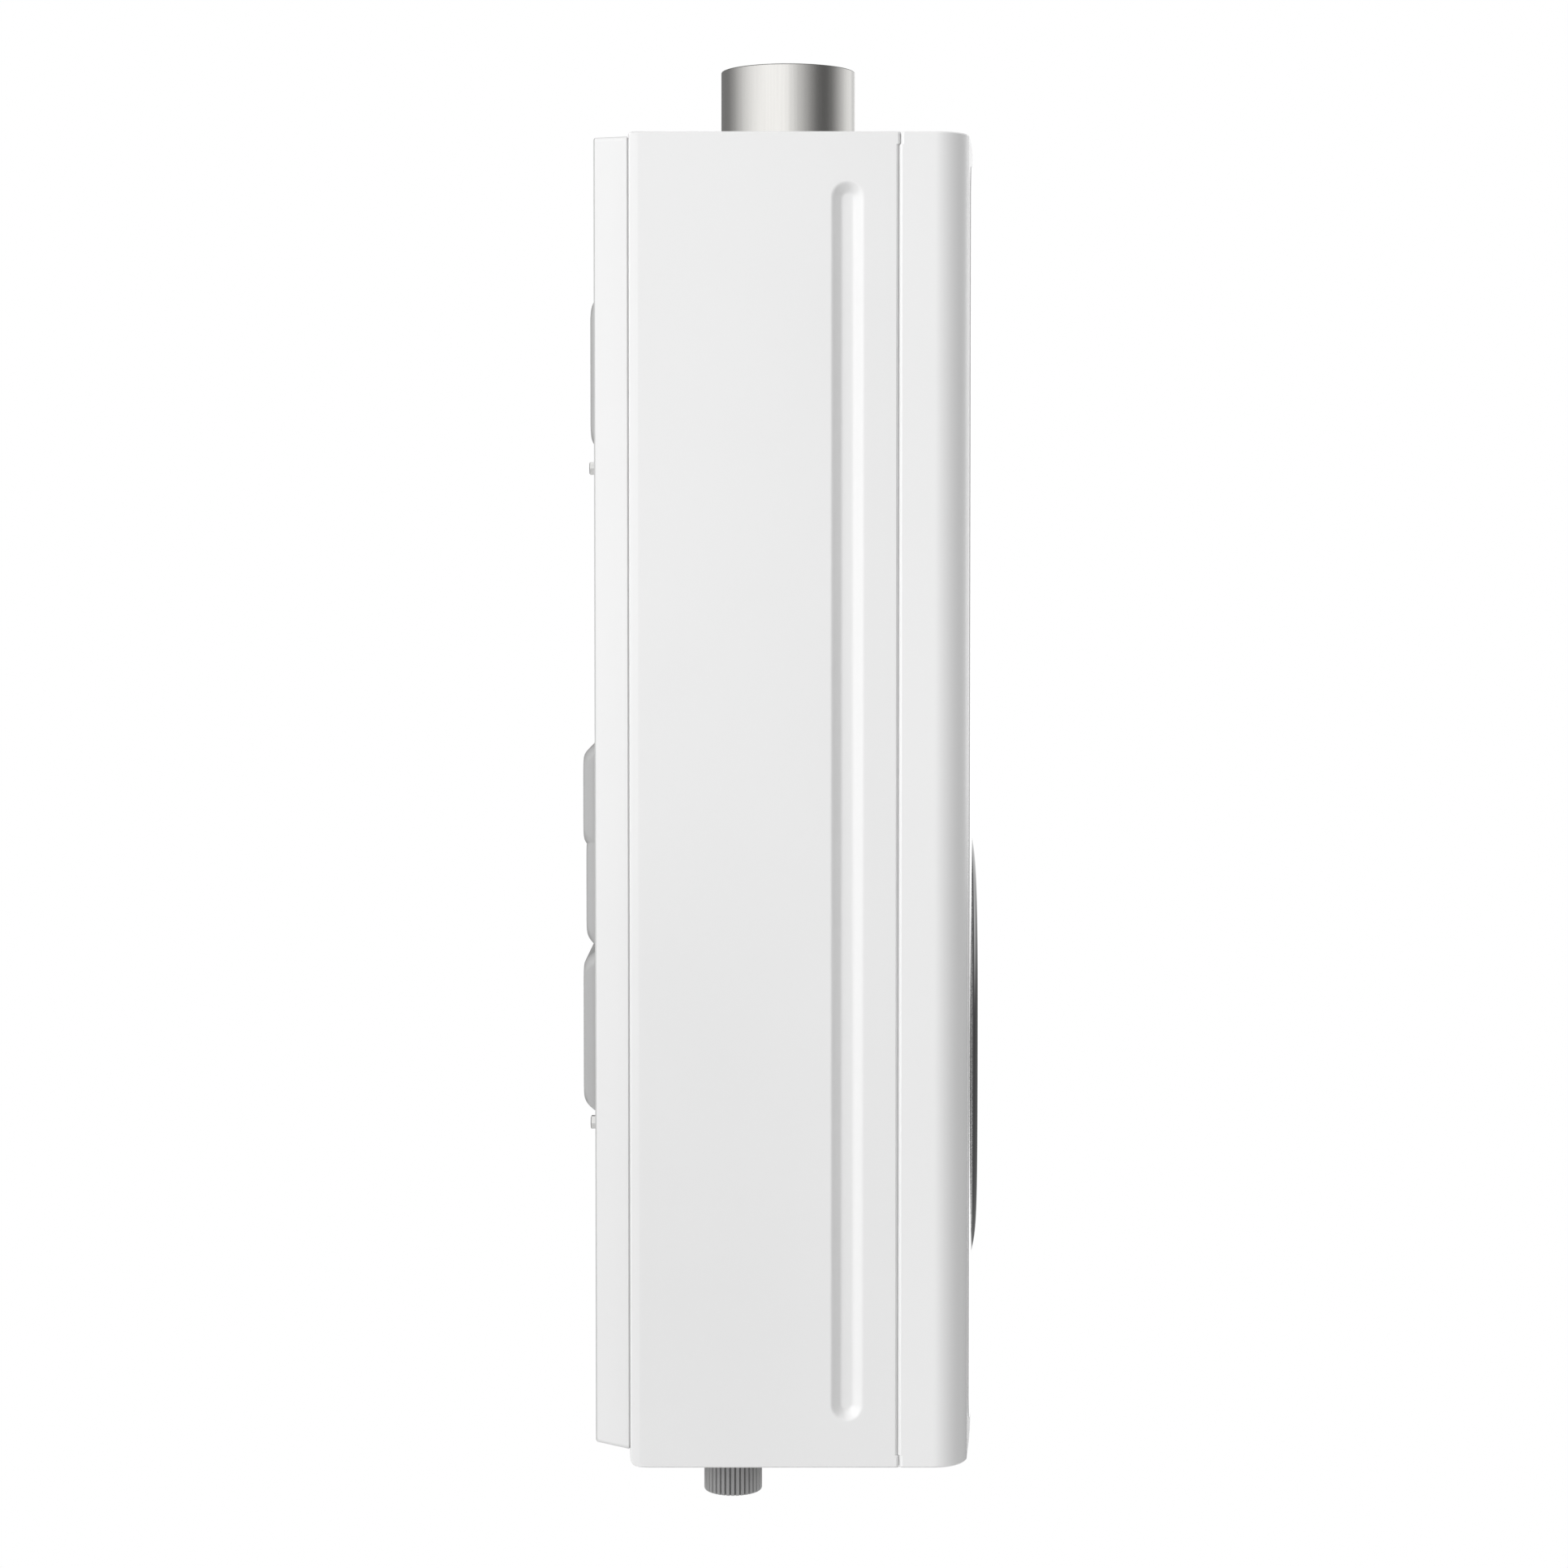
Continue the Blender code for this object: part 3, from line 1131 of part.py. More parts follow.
def make_combustion():
    burner = add("burner_box", core_block(0, BURNER_LOW, BURNER_HIGH), GALVANISED)
    cut(burner, core_block(CORE_WALL, BURNER_LOW + CORE_WALL, BURNER_HIGH + OVERRUN))
    air = rounded(-AIR_HALF_WIDTH, AIR_HALF_WIDTH, FLUE_DEPTH - AIR_HALF_DEPTH, FLUE_DEPTH + AIR_HALF_DEPTH,
                  AIR_CORNER, 3)
    cut(burner, prism_z(air, BURNER_LOW - OVERRUN, BURNER_LOW + OVERRUN))
    bars_low = BURNER_LOW + CORE_WALL + GAP
    inner_half = CORE_HALF_WIDTH - CORE_WALL - GAP
    shape = comb(inner_half, BURNER_BARS, BAR_THICKNESS, BAR_RAIL, bars_low, bars_low + BURNER_BARS_TALL)
    bars = prism_y(shape, CORE_REAR + CORE_WALL + GAP, CORE_FRONT - CORE_WALL - GAP)
    bars = add("burner_bars", bars, STAINLESS)
    cut(bars, prism_z(air, bars_low - OVERRUN, bars_low + OVERRUN + BAR_RAIL))
    chamber = add("combustion_chamber", core_block(0, BURNER_HIGH + GAP, CHAMBER_HIGH), COPPER)
    cut(chamber, core_block(CORE_WALL, BURNER_HIGH - OVERRUN, CHAMBER_HIGH + OVERRUN))
    for x in (-ROD_OFFSET, ROD_OFFSET):
        hole = disc(ROD_RADIUS + GAP, CORE_FRONT - OVERRUN, CORE_FRONT + OVERRUN, (x, 0, ROD_HEIGHT), "Y", 12)
        cut(chamber, hole)
    for name, x in (("ignition_electrode", -ROD_OFFSET), ("flame_sensor", ROD_OFFSET)):
        seat = CORE_FRONT + GAP
        profile = [
            (0, seat + ROD_OUTSIDE),
            (ROD_RADIUS, seat + ROD_OUTSIDE),
            (ROD_RADIUS, seat + CORE_WALL),
            (ROD_FLANGE, seat + CORE_WALL),
            (ROD_FLANGE, seat),
            (ROD_RADIUS, seat),
            (ROD_RADIUS, CORE_FRONT - ROD_OUTSIDE),
            (ROD_TIP_RADIUS, CORE_FRONT - ROD_OUTSIDE),
            (ROD_TIP_RADIUS, CORE_FRONT - ROD_REACH),
            (0, CORE_FRONT - ROD_REACH),
        ]
        add(name, turned(profile, (x, 0, ROD_HEIGHT), "Y", 12), CERAMIC)
    fins_low = CHAMBER_HIGH + GAP
    shape = comb(CORE_HALF_WIDTH, FINS, FIN_THICKNESS, FIN_SPINE, 0, EXCHANGER_HIGH - fins_low)
    shape = [(x, EXCHANGER_HIGH - z) for x, z in shape]
    fins = prism_y(shape, CORE_REAR, CORE_FRONT)
    exchanger = add("heat_exchanger", fins, COPPER)
    slot = rounded(-AIR_HALF_WIDTH, AIR_HALF_WIDTH, FLUE_DEPTH - AIR_HALF_DEPTH, FLUE_DEPTH + AIR_HALF_DEPTH,
                   AIR_CORNER, 3)
    cut(exchanger, prism_z(slot, EXCHANGER_HIGH - FIN_SPINE - GAP, EXCHANGER_HIGH + OVERRUN))


def make_hood():
    low = EXCHANGER_HIGH + GAP
    loops = []
    inner = []
    for z, half_width, half_depth in (
        (low, CORE_HALF_WIDTH, CORE_HALF_DEPTH),
        (low + HOOD_SKIRT, CORE_HALF_WIDTH, CORE_HALF_DEPTH),
        (HOOD_HIGH, HOOD_TOP_HALF_WIDTH, CORE_HALF_DEPTH),
    ):
        for group, inset, lift in ((loops, 0, 0), (inner, CORE_WALL, CORE_WALL)):
            x = half_width - inset
            depth = half_depth - inset
            corners = ((-x, -depth), (x, -depth), (x, depth), (-x, depth))
            group.append([(cx, -FLUE_DEPTH + cy, z - lift) for cx, cy in corners])
    inner[0] = [(x, y, low - OVERRUN) for x, y, z in inner[0]]
    hood = add("exhaust_hood", loft(loops), GALVANISED)
    cut(hood, loft(inner))
    inlet = disc(HOOD_INLET_RADIUS, HOOD_HIGH - OVERRUN, HOOD_HIGH + OVERRUN, (FAN_OFFSET, FLUE_DEPTH, 0), sides=32)
    cut(hood, inlet)


def make_fan():
    low = HOOD_HIGH + GAP
    fan = (FAN_OFFSET, FLUE_DEPTH, 0)
    scroll = add("fan_housing", disc(SCROLL_RADIUS, low, SCROLL_HIGH, fan, sides=40), GALVANISED)
    duct_rear = FLUE_DEPTH - DUCT_HALF_DEPTH
    duct_front = FLUE_DEPTH + DUCT_HALF_DEPTH
    join(scroll, block(DUCT_END, FAN_OFFSET, duct_rear, duct_front, low, SCROLL_HIGH))
    join(scroll, disc(NECK_RADIUS, SCROLL_HIGH - OVERRUN, NECK_TOP, (0, FLUE_DEPTH, 0), sides=32))
    wall = SCROLL_WALL
    cut(scroll, disc(SCROLL_RADIUS - wall, low + wall, SCROLL_HIGH - wall, fan, sides=40))
    inside = (duct_rear + wall, duct_front - wall, low + wall, SCROLL_HIGH - wall)
    cut(scroll, block(DUCT_END + wall, FAN_OFFSET, *inside))
    cut(scroll, disc(NECK_RADIUS - wall, SCROLL_HIGH - OVERRUN, NECK_TOP + OVERRUN, (0, FLUE_DEPTH, 0), sides=32))
    cut(scroll, disc(HOOD_INLET_RADIUS, low - OVERRUN, low + OVERRUN, fan, sides=32))
    cut(scroll, disc(SHAFT_RADIUS + SHAFT_PLAY, SCROLL_HIGH - OVERRUN, SCROLL_HIGH + OVERRUN, fan, sides=16))

    impeller_profile = [
        (SHAFT_RADIUS + GAP, IMPELLER_HIGH - WEB),
        (IMPELLER_RADIUS, IMPELLER_HIGH - WEB),
        (IMPELLER_RADIUS, IMPELLER_HIGH),
        (SHAFT_RADIUS + GAP, IMPELLER_HIGH),
    ]
    impeller = add("fan_impeller", turned(impeller_profile, fan, sides=40), GALVANISED)
    hub = tube(SHAFT_RADIUS + GAP, IMPELLER_HUB, IMPELLER_HIGH - HUB_TALL, IMPELLER_HIGH - WEB / 2, fan, sides=16)
    join(impeller, hub)
    ring_inner = IMPELLER_RADIUS - BLADE_LENGTH
    join(impeller, tube(ring_inner, IMPELLER_RADIUS, IMPELLER_LOW, IMPELLER_LOW + WEB, fan, sides=40))
    for i in range(IMPELLER_BLADES):
        reach = (ring_inner + BLADE_INSET, IMPELLER_RADIUS - BLADE_INSET)
        half = BLADE_THICKNESS / 2
        blade = block(*reach, -half, half, IMPELLER_LOW + WEB / 2, IMPELLER_HIGH - WEB / 2)
        turn = Matrix.Rotation(2 * math.pi * i / IMPELLER_BLADES, 4, "Z")
        blade.transform(Matrix.Translation((FAN_OFFSET, -FLUE_DEPTH, 0)) @ turn)
        join(impeller, blade)

    foot_low = SCROLL_HIGH + GAP
    foot_high = foot_low + MOTOR_FOOT_THICKNESS
    bore = SHAFT_RADIUS + SHAFT_RUN
    motor_profile = [
        (bore, foot_low),
        (MOTOR_FOOT, foot_low),
        (MOTOR_FOOT, foot_high),
        (MOTOR_RADIUS, foot_high),
        (MOTOR_RADIUS, MOTOR_HIGH),
        (0, MOTOR_HIGH),
        (0, MOTOR_HIGH - MOTOR_CAP),
        (bore, MOTOR_HIGH - MOTOR_CAP),
    ]
    add("fan_motor", turned(motor_profile, fan, sides=28), BLACK_PLASTIC)
    shaft_low = IMPELLER_HIGH - HUB_TALL
    shaft_high = MOTOR_HIGH - MOTOR_CAP - GAP
    add("fan_shaft", disc(SHAFT_RADIUS, shaft_low, shaft_high, fan, sides=16), ZINC)


def make_rails():
    """Two channels across the tray that carry the burner and the exchanger."""
    rear = TRAY_REAR + SHEET + GAP
    front = CORE_REAR - GAP
    wall = RAIL_SHEET
    for name, low in (("rail_upper", RAIL_UPPER), ("rail_lower", RAIL_LOWER)):
        high = low + RAIL_TALL
        outline = [
            (rear, low),
            (front, low),
            (front, low + wall),
            (rear + wall, low + wall),
            (rear + wall, high - wall),
            (front, high - wall),
            (front, high),
            (rear, high),
        ]
        rail = add(name, prism_x(outline, -RAIL_HALF_WIDTH, RAIL_HALF_WIDTH), GALVANISED)
        for x in (-RAIL_SCREW_OFFSET, RAIL_SCREW_OFFSET):
            hole = disc(SCREW_SHANK + SCREW_FIT, 0, rear + OVERRUN, (x, 0, low + RAIL_TALL / 2), "Y", 12)
            cut(rail, hole)
    names = ("upper_left", "upper_right", "lower_left", "lower_right")
    for name, (x, _, z) in zip(names, rail_screw_places()):
        screw("chassis_screw_" + name, (x, TRAY_REAR - GAP, z), "Y", 1, head=CHASSIS_HEAD_HEIGHT)


def make_electrics():
    rear = FITTING_DEPTH - CONTROLLER_HALF_DEPTH
    front = FITTING_DEPTH + CONTROLLER_HALF_DEPTH
    wall = CONTROLLER_WALL
    box = add(
        "controller_box",
        block(CONTROLLER_LEFT, CONTROLLER_RIGHT, rear, front, CONTROLLER_LOW, CONTROLLER_HIGH),
        WHITE_PLASTIC,
    )
    cut(
        box,
        block(
            CONTROLLER_LEFT + wall,
            CONTROLLER_RIGHT - wall,
            rear + wall,
            front + OVERRUN,
            CONTROLLER_LOW + wall,
            CONTROLLER_HIGH - wall,
        ),
    )
    board_rear = rear + wall + GAP
    fit = wall + GAP
    add(
        "controller_board",
        block(
            CONTROLLER_LEFT + fit,
            CONTROLLER_RIGHT - fit,
            board_rear,
            board_rear + BOARD_THICKNESS,
            CONTROLLER_LOW + fit,
            CONTROLLER_HIGH - fit,
        ),
        BOARD,
    )
    seat = CORE_FRONT + GAP
    add(
        "ignition_coil",
        block(-COIL_HALF_WIDTH, COIL_HALF_WIDTH, seat, seat + COIL_DEEP, COIL_LOW, COIL_LOW + COIL_TALL),
        BLACK_PLASTIC,
    )
    thermostat = [
        (0, seat),
        (THERMOSTAT_RADIUS, seat),
        (THERMOSTAT_RADIUS, seat + THERMOSTAT_DEEP / 2),
        (THERMOSTAT_RADIUS * 0.7, seat + THERMOSTAT_DEEP / 2),
        (THERMOSTAT_RADIUS * 0.7, seat + THERMOSTAT_DEEP),
        (0, seat + THERMOSTAT_DEEP),
    ]
    place = (THERMOSTAT_OFFSET, 0, EXCHANGER_MIDDLE)
    add("overheat_thermostat", turned(thermostat, place, "Y", 16), BLACK_PLASTIC)
    switch_low = HOOD_HIGH + GAP
    port = SWITCH_RADIUS / 5
    switch = [
        (0, switch_low),
        (SWITCH_RADIUS, switch_low),
        (SWITCH_RADIUS, switch_low + SWITCH_TALL * 0.6),
        (port, switch_low + SWITCH_TALL * 0.6),
        (port, switch_low + SWITCH_TALL),
        (0, switch_low + SWITCH_TALL),
    ]
    add("pressure_switch", turned(switch, (-SWITCH_OFFSET, FLUE_DEPTH, 0), sides=24), WHITE_PLASTIC)


make_casing()
make_cover()
make_fascia()
make_glass()
make_display()
make_tray()
make_bracket()
make_flue()
make_knob()
make_fitting("cold_inlet", -COLD_OFFSET)
make_fitting("gas_inlet", 0)
make_fitting("hot_outlet", HOT_OFFSET)
make_gland()
make_water_side()
make_pipes()
make_gas_side()
make_combustion()
make_hood()
make_fan()
make_rails()
make_electrics()
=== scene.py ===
"""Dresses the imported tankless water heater: finer shells, fittings and materials, light and camera.

Metres, in the model's own frame: the wall is the plane Y = 0 and the front faces -Y.
"""

import math

import bmesh
import bpy
from mathutils import Matrix, Vector


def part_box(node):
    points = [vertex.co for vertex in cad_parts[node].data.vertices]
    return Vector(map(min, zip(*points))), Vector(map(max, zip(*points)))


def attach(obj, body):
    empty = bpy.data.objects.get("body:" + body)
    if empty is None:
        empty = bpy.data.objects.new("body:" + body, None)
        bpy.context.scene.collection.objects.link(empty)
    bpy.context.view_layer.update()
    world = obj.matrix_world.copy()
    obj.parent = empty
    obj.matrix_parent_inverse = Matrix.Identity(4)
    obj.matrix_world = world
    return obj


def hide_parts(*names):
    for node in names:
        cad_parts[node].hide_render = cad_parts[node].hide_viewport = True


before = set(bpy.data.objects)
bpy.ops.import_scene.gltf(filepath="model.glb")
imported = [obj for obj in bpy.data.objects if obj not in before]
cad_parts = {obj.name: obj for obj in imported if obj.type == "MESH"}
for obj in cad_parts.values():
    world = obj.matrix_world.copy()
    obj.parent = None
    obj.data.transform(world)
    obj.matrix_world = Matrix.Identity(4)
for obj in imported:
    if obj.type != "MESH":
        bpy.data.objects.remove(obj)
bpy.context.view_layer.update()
scene = bpy.context.scene

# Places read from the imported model
CASING_LOW, CASING_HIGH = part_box("outer_casing")
COVER_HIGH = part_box("front_cover")[1]
FASCIA_LOW, FASCIA_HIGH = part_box("front_fascia")
GLASS_LOW, GLASS_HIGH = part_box("display_glass")
TRAY_LOW, TRAY_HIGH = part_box("rear_chassis")
COLLAR_LOW, COLLAR_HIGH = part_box("flue_collar")
KNOB_LOW, KNOB_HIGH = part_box("knob")

BASE = CASING_LOW.z
TOP = CASING_HIGH.z
SIDE = CASING_HIGH.x
REAR = -CASING_HIGH.y
SEAM = -CASING_LOW.y

# Sheet metal
SHEET = 0.001
FIT = 0.0003
PAST = 0.004
CORNER_RADIUS = 0.0009
CORNER_TAPER = 0.0034
CORNER_TAPER_IN = 0.0004
TAPER_EASE = 0.0003
REAR_FLANGE = 0.024
REAR_ROUND_LOW = 0.0036
REAR_ROUND_HIGH = 0.0014
STEP = 0.0001
CHAMFER = 0.0005
FLANGE_CORNER = 0.008
REAR_COLUMN = REAR + 0.030
QUARTER = [math.radians(15 * i) for i in range(7)]
# How far a face of the casing must look towards the wall to get the painted edge shade
CASING_LEAN = 0.86
VENTS = 14
VENT_PITCH = 0.016
VENT_WIDTH = 0.0065
VENT_LENGTH = 0.014
VENT_DEPTH = REAR + 0.0073
VENT_CORNER = VENT_WIDTH / 2.2
SCREW_HOLE = 0.0021
KNOB_HOLE = 0.004
EDGE_ROUND = 0.0006

# Pressed groove in each side
GROOVE_CENTRE = SEAM - 0.0198
GROOVE_HALF = 0.0065
GROOVE_DEPTH = 0.0030
GROOVE_WALL = 0.0046
GROOVE_LOW = BASE + 0.0183
GROOVE_HIGH = TOP - 0.0190
GROOVE_STEP = 0.0005
GROOVE_END_ROWS = range(-2, 15)
GROOVE_MIDDLE_ROWS = 9

# Front cover
COVER_REAR = -COVER_HIGH.y
CASING_FRONT = SEAM - 0.0001
CASING_EDGE = 0.0008
CASING_EDGE_SHARE = 0.75
TAPER_START_SHARE = 0.1
COVER_REAR_EDGE = SEAM + 0.0001
NOTCH_SHIFT = 0.0006
NOTCH_LOW = 0.0022
NOTCH_HIGH = 0.0048
COVER_EDGE_FLAT = 0.0140
COVER_EDGE_RADIUS = 0.0139
COVER_EDGE_STEPS = 20
COVER_FRONT_STEPS = 32
COVER_HEM = 0.0013
HEM_SHARE = 0.8
LIP_FRONT = SEAM + 0.0068
LIP_WALL = SHEET + FIT + 0.0012
FASCIA_THICKNESS = 0.0003
COVER_FRONT = -FASCIA_LOW.y - FASCIA_THICKNESS
BULGE = COVER_FRONT - SEAM - COVER_EDGE_FLAT - COVER_EDGE_RADIUS
BULGE_HALF = SIDE - COVER_EDGE_RADIUS
FRONT_RADIUS = (BULGE_HALF**2 + BULGE**2) / (2 * BULGE)

# Fascia and display
FASCIA_CORNER = 0.014
FASCIA_CORNER_STEPS = 14
FASCIA_STEPS = 40
FASCIA_ROUND = 0.00008
GLASS_RADIUS = (GLASS_HIGH.x - GLASS_LOW.x) / 2
GLASS_CENTRE = (GLASS_HIGH.z + GLASS_LOW.z) / 2
GLASS_RISE = 0.0023
GLASS_EDGE = 0.0006
GLASS_EDGE_REACH = 0.010
GLASS_EDGE_POWER = 2.2
GLASS_RING_SHARES = (0.15, 0.3, 0.45, 0.6, 0.72)
GLASS_EDGE_RINGS = 12
GLASS_SIDES = 128
WINDOW_RADIUS = 0.042
WINDOW_SIDES = 64

# Rear tray
TRAY_REAR = 0.0067
TRAY_TAPER = 0.002
TRAY_TAPER_LOW = 0.0025
TRAY_TAPER_HIGH = 0.0003
TRAY_CORNER = 0.002
TRAY_MOUTH = 0.012
# How far a face of the tray must look towards the wall to get the painted edge shade
TRAY_LEAN = 0.35
TRAY_ROUND = 0.0008
TRAY_LOOPS = ((0, 0.0006), (0.05, 0), (0.96, 0), (1, CHAMFER))
PAD_HALF = SIDE - 0.035
PAD_SLOPE = 0.0062
PAD_SIDE_SHARE = 0.6
PAD_WALL_SHARE = 0.3
PAD_POWER = 2.1
PAD_CORNER = 0.005
PAD_CORNER_STEPS = 6
PAD_STEPS = 9
# Low end, high end and reach towards the wall of each pad
PADS = (
    (0.399, 0.459, 0.0030),
    (0.238, 0.281, 0.0062),
    (0.200, 0.247, 0.0050),
    (0.1335, 0.1978, 0.0062),
)

# Flue
FLUE_DEPTH = -(COLLAR_LOW.y + COLLAR_HIGH.y) / 2
FLUE_RADIUS = 0.0291
FLUE_WALL = 0.0008
FLANGE_RADIUS = 0.044
FLANGE_LOW = TOP + 0.0026
FLANGE_HIGH = TOP + 0.0038
FLANGE_EDGE = 0.0003
FLANGE_FILLET = 0.0010
SPIGOT_LIP = 0.0004
SPIGOT_LIP_SHARE = 0.3
SPIGOT_SIDES = 160

# Knob
KNOB_X = (KNOB_LOW.x + KNOB_HIGH.x) / 2
KNOB_DEPTH = -(KNOB_LOW.y + KNOB_HIGH.y) / 2
KNOB_RADIUS = (KNOB_HIGH.x - KNOB_LOW.x) / 2
KNOB_EDGE = 0.0007
KNOB_EDGE_SHARE = 0.3
KNOB_BORE = 0.0033
KNOB_BORE_DEPTH = 0.012
# Share of the radius and rise of the dish in the knob's end
KNOB_DISH = ((0, 0.0006), (0.60, 0.0006), (0.66, 0.0002), (0.72, 0))
FLUTES = 36
FLUTE_DEPTH = 0.0009
FLUTE_SHARE = 0.16
FLUTED_SHARE = 0.9
FLUTE_SIDES = 10

# Screws
PAN_HEAD = 0.0014
HEXAGON_HEAD = 0.0028
SCREW_SHANK = 0.0018
SCREW_SIDES = 36
SCREW_THREAD_START = 0.0002
SCREW_PITCH = 0.0007
SCREW_ROOT_SHARE = 0.78
SCREW_TIP_SHARE = 0.8
# Share of the radius and share of the height of each point of a head
PAN_SHARES = ((0.35, 1.0), (0.62, 0.96), (0.82, 0.82), (0.95, 0.55), (1.0, 0.22), (0.99, 0.0))
FLANGED_SHARES = ((0.62, 1.0), (0.80, 0.90), (0.80, 0.30), (0.96, 0.22), (1.0, 0.12), (1.0, 0.0))
FLANGE_SHARE = 0.25
RECESS_ARM_SHARE = 0.52
RECESS_HALF_SHARE = 0.11
RECESS_DEPTH_SHARE = 0.6
RECESS_TURN = 20

# Connections
FITTING_RADIUS = 0.0103
FITTING_BORE = 0.0070
FITTING_THREAD_DEPTH = 0.0009
FITTING_THREAD_START = 0.0006
FITTING_THREAD_END = BASE - 0.0045
FITTING_PITCH = 0.0018
FITTING_CREST_SHARES = (0.42, 0.58)
FITTING_NECK_LOW = BASE - 0.0030
FITTING_NECK_HIGH = BASE - 0.0024
FITTING_COLLAR = 0.0145
FITTING_COLLAR_HEIGHT = 0.004
FITTING_SIDES = 72
GLAND_RADIUS = 0.0080
GLAND_BORE = 0.0042
GLAND_MOUTH = 0.0048
GLAND_DISH = 0.0006
GLAND_SEAT = BASE - FIT
# Distance in from the head's radius and up from its end, along its round edge
GLAND_EDGE = ((0.0015, 0), (0.0004, 0.0008), (0, 0.0018))
GLAND_GRIPS = 12
GLAND_GRIP_DEPTH = 0.0005
GLAND_GRIP_SHARE = 0.97
GLAND_GRIP_END = 0.0012
GLAND_RIM = (0.0014, 0.0010)
GLAND_SIDES = 96

# Nodes of the model that are refined
REFINED_ROUND = 0.0003
WELD = 0.000001

# Floor, light and camera
CENTRE = Vector((0, -0.09, (BASE + TOP) / 2))
FLOOR = BASE - 0.40
FLOOR_SIZE = 6
FLOOR_TONE = 0.86
FLOOR_FADE = (0.15, 0.50)
WORLD_LEVEL = 0.53
WALL_LEVEL = 1.3
WALL_RADIUS = 1.0
WALL_HEIGHT = 5
WALL_SIDES = 96
WALL_SEAM = 0.0001
FLAG_TONE = 0.13
FLAG_LOW = -0.43
FLAG_HIGH = -0.28
CAMERA_PLACE = (-1.42242, -0.0808, -0.1266)
CAMERA_LEAN = 1.95
CAMERA_LENS = 74.53
CAMERA_SENSOR = 36.0
CAMERA_SHIFT = -0.08

# Finishes: sizes and depths in metres, drifts in tone or roughness
PAINT_DRIFT = 0.006
PAINT_DRIFT_SIZE = 0.09
PAINT_GLOSS = 0.03
PAINT_GLOSS_SIZE = 0.03
PEEL_SIZE = 0.0011
PEEL_DEPTH = 0.000006
METAL_GLOSS = (0.02, 0.03)
METAL_GLOSS_SPREAD = 6
MOULDED_GLOSS = 0.05
MOULDED_DRIFT_SPREAD = 20
NOISE_LOW = 0.3
NOISE_HIGH = 0.7
EVEN = (1, 1, 1)


class Finish:
    """A Principled material with small helpers for procedural detail."""

    def __init__(self, name, colour, roughness, metallic=0.0):
        self.material = bpy.data.materials.new(name)
        self.material.use_nodes = True
        self.tree = self.material.node_tree
        self.shader = self.tree.nodes["Principled BSDF"]
        self.shader.inputs["Base Color"].default_value = (*colour, 1)
        self.shader.inputs["Roughness"].default_value = roughness
        self.shader.inputs["Metallic"].default_value = metallic
        self.place = self.tree.nodes.new("ShaderNodeTexCoord").outputs["Object"]

    def set(self, **values):
        for name, value in values.items():
            self.shader.inputs[name.replace("_", " ")].default_value = value

    def stretched(self, scale):
        mapping = self.tree.nodes.new("ShaderNodeMapping")
        mapping.inputs["Scale"].default_value = scale
        self.tree.links.new(self.place, mapping.inputs["Vector"])
        return mapping.outputs["Vector"]

    def noise(self, size, detail=2.0, stretch=EVEN):
        """Noise with features of about the size given, in metres."""
        node = self.tree.nodes.new("ShaderNodeTexNoise")
        node.inputs["Scale"].default_value = 1 / size
        node.inputs["Detail"].default_value = detail
        self.tree.links.new(self.stretched(stretch), node.inputs["Vector"])
        return node.outputs["Fac"]

    def colour(self, factor, low, high):
        node = self.tree.nodes.new("ShaderNodeValToRGB")
        first, last = node.color_ramp.elements
        first.position = NOISE_LOW
        last.position = NOISE_HIGH
        first.color = (*low, 1)
        last.color = (*high, 1)
        self.tree.links.new(factor, node.inputs["Fac"])
        self.tree.links.new(node.outputs["Color"], self.shader.inputs["Base Color"])

    def roughness(self, factor, low, high):
        node = self.tree.nodes.new("ShaderNodeMapRange")
        node.inputs["From Min"].default_value = NOISE_LOW
        node.inputs["From Max"].default_value = NOISE_HIGH
        node.inputs["To Min"].default_value = low
        node.inputs["To Max"].default_value = high
        self.tree.links.new(factor, node.inputs["Value"])
        self.tree.links.new(node.outputs["Result"], self.shader.inputs["Roughness"])

    def bump(self, height, distance):
        node = self.tree.nodes.new("ShaderNodeBump")
        node.inputs["Strength"].default_value = 1.0
        node.inputs["Distance"].default_value = distance
        self.tree.links.new(height, node.inputs["Height"])
        self.tree.links.new(node.outputs["Normal"], self.shader.inputs["Normal"])


def painted(name, tone, roughness, coat=0.6, coat_roughness=0.15):
    """Powder coat: a very fine orange peel and the faintest drift in tone."""
    made = Finish(name, (tone, tone, tone), roughness)
    low = (tone - PAINT_DRIFT,) * 3
    high = (tone + PAINT_DRIFT,) * 3
    made.colour(made.noise(PAINT_DRIFT_SIZE, 3.0), low, high)
    made.roughness(made.noise(PAINT_GLOSS_SIZE, 3.0), roughness - PAINT_GLOSS, roughness + PAINT_GLOSS)
    made.bump(made.noise(PEEL_SIZE, 2.0), PEEL_DEPTH)
    made.set(Coat_Weight=coat, Coat_Roughness=coat_roughness)
    return made.material


def metal(name, low, high, roughness, stretch, size=0.0008, depth=0.000004):
    """Rolled, drawn or brushed metal: fine lines along the long side of the stretch."""
    made = Finish(name, high, roughness, 1.0)
    lines = made.noise(size, 3.0, stretch)
    made.colour(lines, low, high)
    gloss = made.noise(size * METAL_GLOSS_SPREAD, 3.0, stretch)
    made.roughness(gloss, roughness - METAL_GLOSS[0], roughness + METAL_GLOSS[1])
    made.bump(lines, depth)
    return made.material


def moulded(name, low, high, roughness, size=0.0006, depth=0.00001, metallic=0.0):
    """Moulded plastic, rubber or ceramic with a fine sparked grain."""
    made = Finish(name, high, roughness, metallic)
    grain = made.noise(size, 2.0)
    made.colour(made.noise(size * MOULDED_DRIFT_SPREAD, 3.0), low, high)
    made.roughness(grain, roughness - MOULDED_GLOSS, roughness + MOULDED_GLOSS)
    made.bump(grain, depth)
    return made.material


